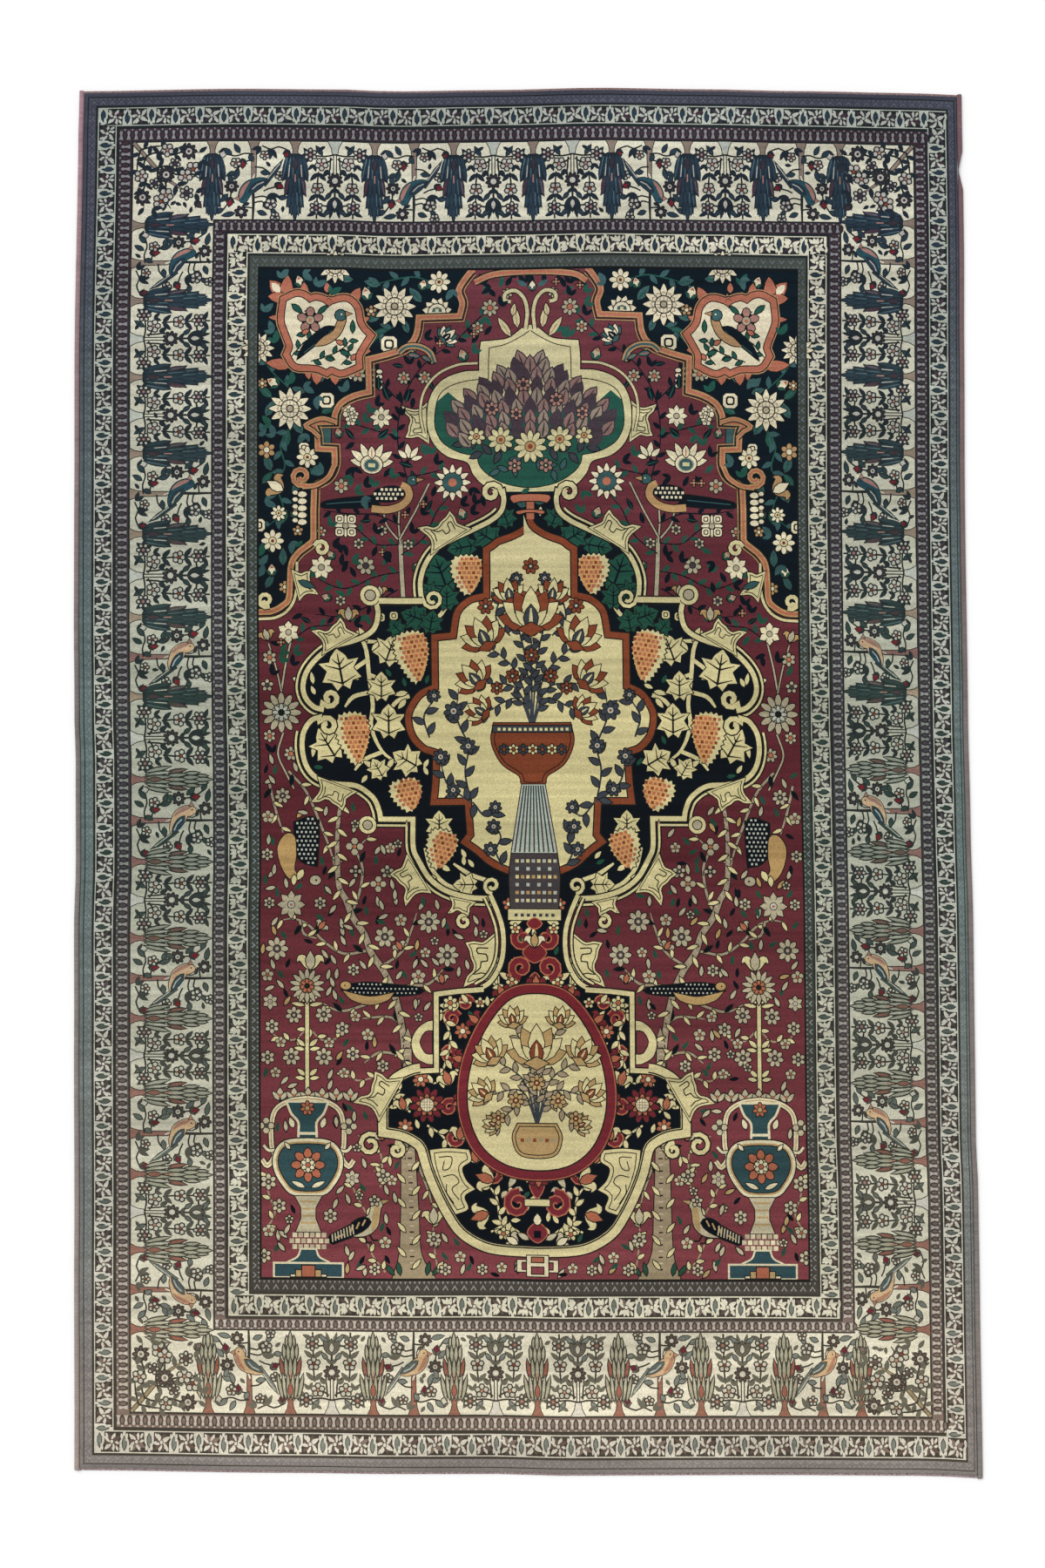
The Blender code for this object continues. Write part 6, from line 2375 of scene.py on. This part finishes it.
@dataclass
class WovenEnd:
    """One flat-woven strip that closes an end.

    Args:
        node: CAD node that it replaces.
        thickness: Thickness of the strip, in metres.
        pick: Length of one weft float.
        rows: Wefts across the strip.
        relief: Height of a float over the warps.
    """

    node: str
    thickness: float = 0.0020
    pick: float = 0.00134
    rows: int = 4
    relief: float = 0.00035

    def build(self, finish: "Flatweave") -> bpy.types.Object:
        """Build the strip.

        Args:
            finish: Its finish.

        Returns:
            The finished strip.
        """
        base = node_base(self.node)
        middle = np.interp(base[:, 0], *self.mean_line(base))
        lower, upper = base[base[:, 1] < middle], base[base[:, 1] >= middle]
        steps = round((base[:, 0].max() - base[:, 0].min()) / self.pick) * 2
        xs = np.linspace(base[:, 0].min(), base[:, 0].max(), steps + 1)
        low = np.interp(xs, lower[:, 0], lower[:, 1])
        high = np.interp(xs, upper[:, 0], upper[:, 1])
        lines = self.rows * 2 + 1
        grid = np.empty((lines, len(xs), 3))
        for line in range(lines):
            grid[line, :, 0] = xs
            grid[line, :, 1] = low + (high - low) * line / (lines - 1)
            over = np.cos(np.arange(len(xs)) * math.pi + (line // 2) * math.pi)   # and under
            ridge = 1.0 if line % 2 else 0.25                # crest of a weft, or between two
            edge = 0.55 if line in (0, lines - 1) else 1.0
            grid[line, :, 2] = (self.thickness
                                - self.relief * (1 - ridge * (0.6 + 0.4 * over))) * edge
        return self.close(grid, finish)

    @staticmethod
    def mean_line(base: np.ndarray) -> tuple[np.ndarray, np.ndarray]:
        """Return the strip's middle line as x and y at its points."""
        xs = np.unique(base[:, 0].round(3))
        ys = np.array([base[np.abs(base[:, 0] - x) < 0.02][:, 1].mean() for x in xs])
        return xs, ys

    def close(self, grid: np.ndarray, finish: "Flatweave") -> bpy.types.Object:
        """Close the woven face with a flat underside and thin edges."""
        lines, count, _ = grid.shape
        under = grid[[0, -1]].copy()
        under[:, :, 2] = 0
        verts = np.vstack([grid.reshape(-1, 3), under.reshape(-1, 3)])
        rows = list(range(lines)) + [lines + 1, lines]
        faces = []
        for one, other in zip(rows, rows[1:] + rows[:1]):
            a, b = one * count, other * count
            faces += [(a + k, a + k + 1, b + k + 1, b + k) for k in range(count - 1)]
        faces.append([r * count for r in rows])
        faces.append([r * count + count - 1 for r in rows][::-1])
        piece = new_piece(self.node + "_weave", verts, faces)
        dress(piece, finish.make())
        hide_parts(self.node)
        log.info("%s: %d faces", piece.name, len(faces))
        return piece


# ---------------------------------------------------------------- finishes

def add_node(tree: bpy.types.NodeTree, kind: str, inputs: dict | None = None,
             **settings: object) -> bpy.types.Node:
    """Add a shader node, set it and link it.

    Args:
        tree: Node tree.
        kind: Blender's name of the node type.
        inputs: Value or source socket for each input, by name or number.
        settings: Properties of the node.

    Returns:
        The node.
    """
    made = tree.nodes.new(kind)
    for name, value in settings.items():
        setattr(made, name, value)
    for key, value in (inputs or {}).items():
        if isinstance(value, bpy.types.NodeSocket):
            tree.links.new(value, made.inputs[key])
        else:
            made.inputs[key].default_value = value
    return made


def start_material(name: str) -> tuple[bpy.types.Material, bpy.types.NodeTree, bpy.types.Node]:
    """Make a material and return it with its tree and its shader."""
    material = bpy.data.materials.new(name)
    material.use_nodes = True
    tree = material.node_tree
    return material, tree, tree.nodes["Principled BSDF"]


def scaled(tree: bpy.types.NodeTree, scale: tuple[float, float, float]) -> bpy.types.NodeSocket:
    """Return Object coordinates in metres times scale."""
    place = add_node(tree, "ShaderNodeTexCoord").outputs["Object"]
    return add_node(tree, "ShaderNodeVectorMath", {0: place, 1: scale},
                    operation="MULTIPLY").outputs[0]


def spread(tree: bpy.types.NodeTree, value: bpy.types.NodeSocket, low: float,
           high: float) -> bpy.types.NodeSocket:
    """Turn a value from 0..1 into low..high."""
    return add_node(tree, "ShaderNodeMapRange", {"Value": value, "To Min": low, "To Max": high}
                    ).outputs["Result"]


def times(tree: bpy.types.NodeTree, one: bpy.types.NodeSocket,
          other: bpy.types.NodeSocket) -> bpy.types.NodeSocket:
    """Multiply two values."""
    return add_node(tree, "ShaderNodeMath", {0: one, 1: other}, operation="MULTIPLY").outputs[0]


def noise(tree: bpy.types.NodeTree, stretch: tuple[float, float, float], scale: float = 1.0,
          detail: float = 2.0) -> bpy.types.NodeSocket:
    """Return soft noise of about scale times stretch grains a metre."""
    return add_node(tree, "ShaderNodeTexNoise", {"Vector": scaled(tree, stretch), "Scale": scale,
                                                 "Detail": detail}).outputs["Fac"]


def tinted(tree: bpy.types.NodeTree, color: bpy.types.NodeSocket,
           shade: bpy.types.NodeSocket) -> bpy.types.NodeSocket:
    """Multiply a colour by a brightness."""
    return add_node(tree, "ShaderNodeVectorMath", {0: color, "Scale": shade},
                    operation="SCALE").outputs[0]


def emboss(tree: bpy.types.NodeTree, shader: bpy.types.Node, height: bpy.types.NodeSocket,
           distance: float, strength: float) -> None:
    """Give a shader a fine relief, distance metres high."""
    bump = add_node(tree, "ShaderNodeBump", {"Height": height, "Distance": distance,
                                             "Strength": strength})
    tree.links.new(bump.outputs["Normal"], shader.inputs["Normal"])


def set_surface(shader: bpy.types.Node, roughness: float, sheen: float) -> None:
    """Set how matt a shader is and how much fuzz it has."""
    shader.inputs["Roughness"].default_value = roughness
    shader.inputs["Sheen Weight"].default_value = sheen


@dataclass(frozen=True)
class Wool:
    """Dyed and knotted wool, coloured by the yarn of each face.

    Args:
        name: Name of the material.
        depth: Height of the relief of the knots, in metres.
        uneven: How much the dye varies from knot to knot.
        back: True for the ribbed backs of the knots, False for cut tufts.
    """

    name: str
    depth: float = 0.0005
    uneven: float = 0.36
    back: bool = False

    def make(self) -> bpy.types.Material:
        """Make the material."""
        material, tree, shader = start_material(self.name)
        per_knot = scaled(tree, (1 / KNOT, 1 / KNOT, 0))       # one unit a knot of 1.34 mm
        cell = add_node(tree, "ShaderNodeVectorMath", {0: per_knot}, operation="FLOOR").outputs[0]
        knot = add_node(tree, "ShaderNodeTexWhiteNoise", {"Vector": cell}).outputs["Value"]
        rows = noise(tree, (1.6, 95, 0))                       # dye lots about 10 mm
        wear = noise(tree, (3, 14, 0), detail=3.0)             # streaks 330 x 70 mm
        shade = times(tree, spread(tree, knot, 1 - self.uneven / 2, 1 + self.uneven / 2),
                      times(tree, spread(tree, rows, 0.62, 1.38), spread(tree, wear, 0.54, 1.22)))
        yarn = add_node(tree, "ShaderNodeAttribute", attribute_name="yarn").outputs["Color"]
        tree.links.new(tinted(tree, yarn, shade), shader.inputs["Base Color"])
        if self.back:
            ribs = add_node(tree, "ShaderNodeTexWave", {"Vector": per_knot, "Scale": 0.5,
                                                        "Distortion": 0.6, "Detail": 1.0},
                            bands_direction="Y").outputs["Fac"]
            relief = times(tree, ribs, spread(tree, knot, 0.7, 1.0))
        else:
            fibre = noise(tree, (1, 1, 1), 900.0)              # strands about 1 mm
            relief = add_node(tree, "ShaderNodeMath", {0: fibre, 1: knot}).outputs[0]
        emboss(tree, shader, relief, self.depth, 0.55)
        set_surface(shader, 0.93, 0.02)
        shader.inputs["Specular IOR Level"].default_value = 0.08
        shader.inputs["Sheen Roughness"].default_value = 0.6
        return material


@dataclass(frozen=True)
class Overcast:
    """Faded rose wool wrapped round a side cord, redder towards the top of the rug.

    Args:
        name: Name of the material.
        top: Colour at the upper end.
        middle: Colour at the middle.
        low: Colour at the lower end.
    """

    name: str
    top: str
    middle: str
    low: str

    def make(self) -> bpy.types.Material:
        """Make the material."""
        material, tree, shader = start_material(self.name)
        place = add_node(tree, "ShaderNodeSeparateXYZ", {0: scaled(tree, (1, 1, 1))}).outputs["Y"]
        reach = 1.06                           # from the middle to past either end, in metres
        share = add_node(tree, "ShaderNodeMapRange", {"Value": place, "From Min": -reach,
                                                      "From Max": reach}).outputs["Result"]
        ramp = add_node(tree, "ShaderNodeValToRGB", {"Fac": share})
        ramp.color_ramp.elements[0].color = (*srgb(self.low), 1)
        ramp.color_ramp.elements[1].color = (*srgb(self.top), 1)
        ramp.color_ramp.elements.new(0.5).color = (*srgb(self.middle), 1)
        wrap = noise(tree, (40, 620, 0), detail=1.0)           # each wrap, 1.6 mm
        patch = noise(tree, (1, 1, 0), 45.0)                   # stretches about 20 mm
        shade = times(tree, spread(tree, wrap, 0.62, 1.38), spread(tree, patch, 0.72, 1.28))
        tree.links.new(tinted(tree, ramp.outputs["Color"], shade), shader.inputs["Base Color"])
        emboss(tree, shader, noise(tree, (1, 0.3, 1), 3000.0), 0.0002, 0.5)   # fibres of 0.3 mm
        set_surface(shader, 0.9, 0.08)
        return material


@dataclass(frozen=True)
class Flatweave:
    """Dusty red weft-faced weave with paler and browner picks.

    Args:
        name: Name of the material.
        ground: Main colour.
        pick: Colour of the darker picks.
    """

    name: str
    ground: str = "a88a86"
    pick: str = "715d60"

    def make(self) -> bpy.types.Material:
        """Make the material."""
        material, tree, shader = start_material(self.name)
        picks = noise(tree, (260, 700, 0))                     # floats about 3 mm
        ramp = add_node(tree, "ShaderNodeValToRGB", {"Fac": picks})
        for stop, position, color in zip(ramp.color_ramp.elements, (0.36, 0.62),
                                         (self.pick, self.ground)):
            stop.position = position
            stop.color = (*srgb(color), 1)
        tree.links.new(ramp.outputs["Color"], shader.inputs["Base Color"])
        set_surface(shader, 0.9, 0.05)
        return material


def dress(piece: bpy.types.Object, material: bpy.types.Material) -> None:
    """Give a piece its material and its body."""
    piece.data.materials.append(material)
    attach(piece, "root")


# ---------------------------------------------------------------- studio

@dataclass(frozen=True)
class Studio:
    """Plain pale floor, soft light and a camera straight above the rug.

    Args:
        floor: Colour of the floor.
        sky: Strength of the even light all round.
        key: Strength of the soft key light from the upper left.
        key_turn: Turn of the key light, in degrees.
        softness: How wide the key light looks from the rug, in degrees.
        camera: Camera place, in metres.
        turn: Camera turn, in degrees.
        lens: Focal length, in millimetres.
        film: Width of the camera's sensor, in millimetres.
        under: How far the floor lies below the rug, so that the two don't meet, in metres.
    """

    floor: str = "ffffff"
    sky: float = 0.66
    key: float = 1.385
    key_turn: tuple[float, float, float] = (-24, -28, 0)
    softness: float = 40.0
    camera: tuple[float, float, float] = (0.00305, -0.1632, 3.3379)
    turn: tuple[float, float, float] = (2.525, 0.074, -0.080)
    lens: float = 50.0
    film: float = 36.0
    under: float = 0.0004

    def build(self) -> None:
        """Build the studio."""
        scene = bpy.context.scene
        bpy.ops.object.select_all(action="DESELECT")
        bpy.ops.mesh.primitive_plane_add(size=16, location=(0, 0, -self.under))
        ground = bpy.context.object
        ground.name = "studio_floor"
        material, _, shader = start_material("studio_floor")
        shader.inputs["Base Color"].default_value = (*srgb(self.floor), 1)
        shader.inputs["Roughness"].default_value = 0.8
        shader.inputs["Specular IOR Level"].default_value = 0.1
        ground.data.materials.append(material)
        scene.world = bpy.data.worlds.new("studio")
        scene.world.use_nodes = True
        light = scene.world.node_tree.nodes["Background"].inputs
        light["Color"].default_value = (1, 1, 1, 1)
        light["Strength"].default_value = self.sky
        lamp = bpy.data.lights.new("key", "SUN")
        lamp.energy = self.key
        lamp.angle = math.radians(self.softness)
        key = bpy.data.objects.new("key", lamp)
        key.rotation_euler = [math.radians(angle) for angle in self.key_turn]
        scene.collection.objects.link(key)
        lens = bpy.data.cameras.new("camera")
        lens.lens, lens.sensor_width, lens.sensor_fit = self.lens, self.film, "AUTO"
        camera = bpy.data.objects.new("camera", lens)
        camera.location = self.camera
        camera.rotation_euler = [math.radians(angle) for angle in self.turn]
        scene.collection.objects.link(camera)
        scene.camera = camera
        scene.view_settings.view_transform = "Standard"


def paint_cartoon(c: Motifs) -> None:
    """Paint the whole colour plan."""
    borders = Borders()
    borders.draw(c)
    borders.ground_cover(c, np.random.default_rng(SEED))
    Field().draw(c)
    borders.flecked_band(c)


def main() -> None:
    """Draw the cartoon and build the rug from it."""
    logging.basicConfig(level=logging.INFO, format="%(message)s")
    Studio().build()
    cartoon = Motifs()
    paint_cartoon(cartoon)
    log.info("cartoon: %d shapes, %d points", len(cartoon.shapes),
             sum(len(s.loop) for s in cartoon.shapes))
    outline = Outline()
    tiles = Pile().build(cartoon, outline, Wool("knotted_wool_pile"))
    sheet = Foundation().build(cartoon, outline, Wool("knot_backs", 0.0006, 0.22, True))
    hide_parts("pile_body")
    left = Overcast("overcast_wool_left", "a8878f", "787472", "a5978f")
    right = Overcast("overcast_wool_right", "77595f", "7a716d", "847d78")
    cords = [SideCord("selvedge_left", -1).build(left), SideCord("selvedge_right", 1).build(right)]
    ends = [WovenEnd("kilim_end_top").build(Flatweave("flatweave_top")),
            WovenEnd("kilim_end_bottom").build(Flatweave("flatweave_bottom", "c0adaa"))]
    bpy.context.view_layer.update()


if __name__ == "__main__":
    main()
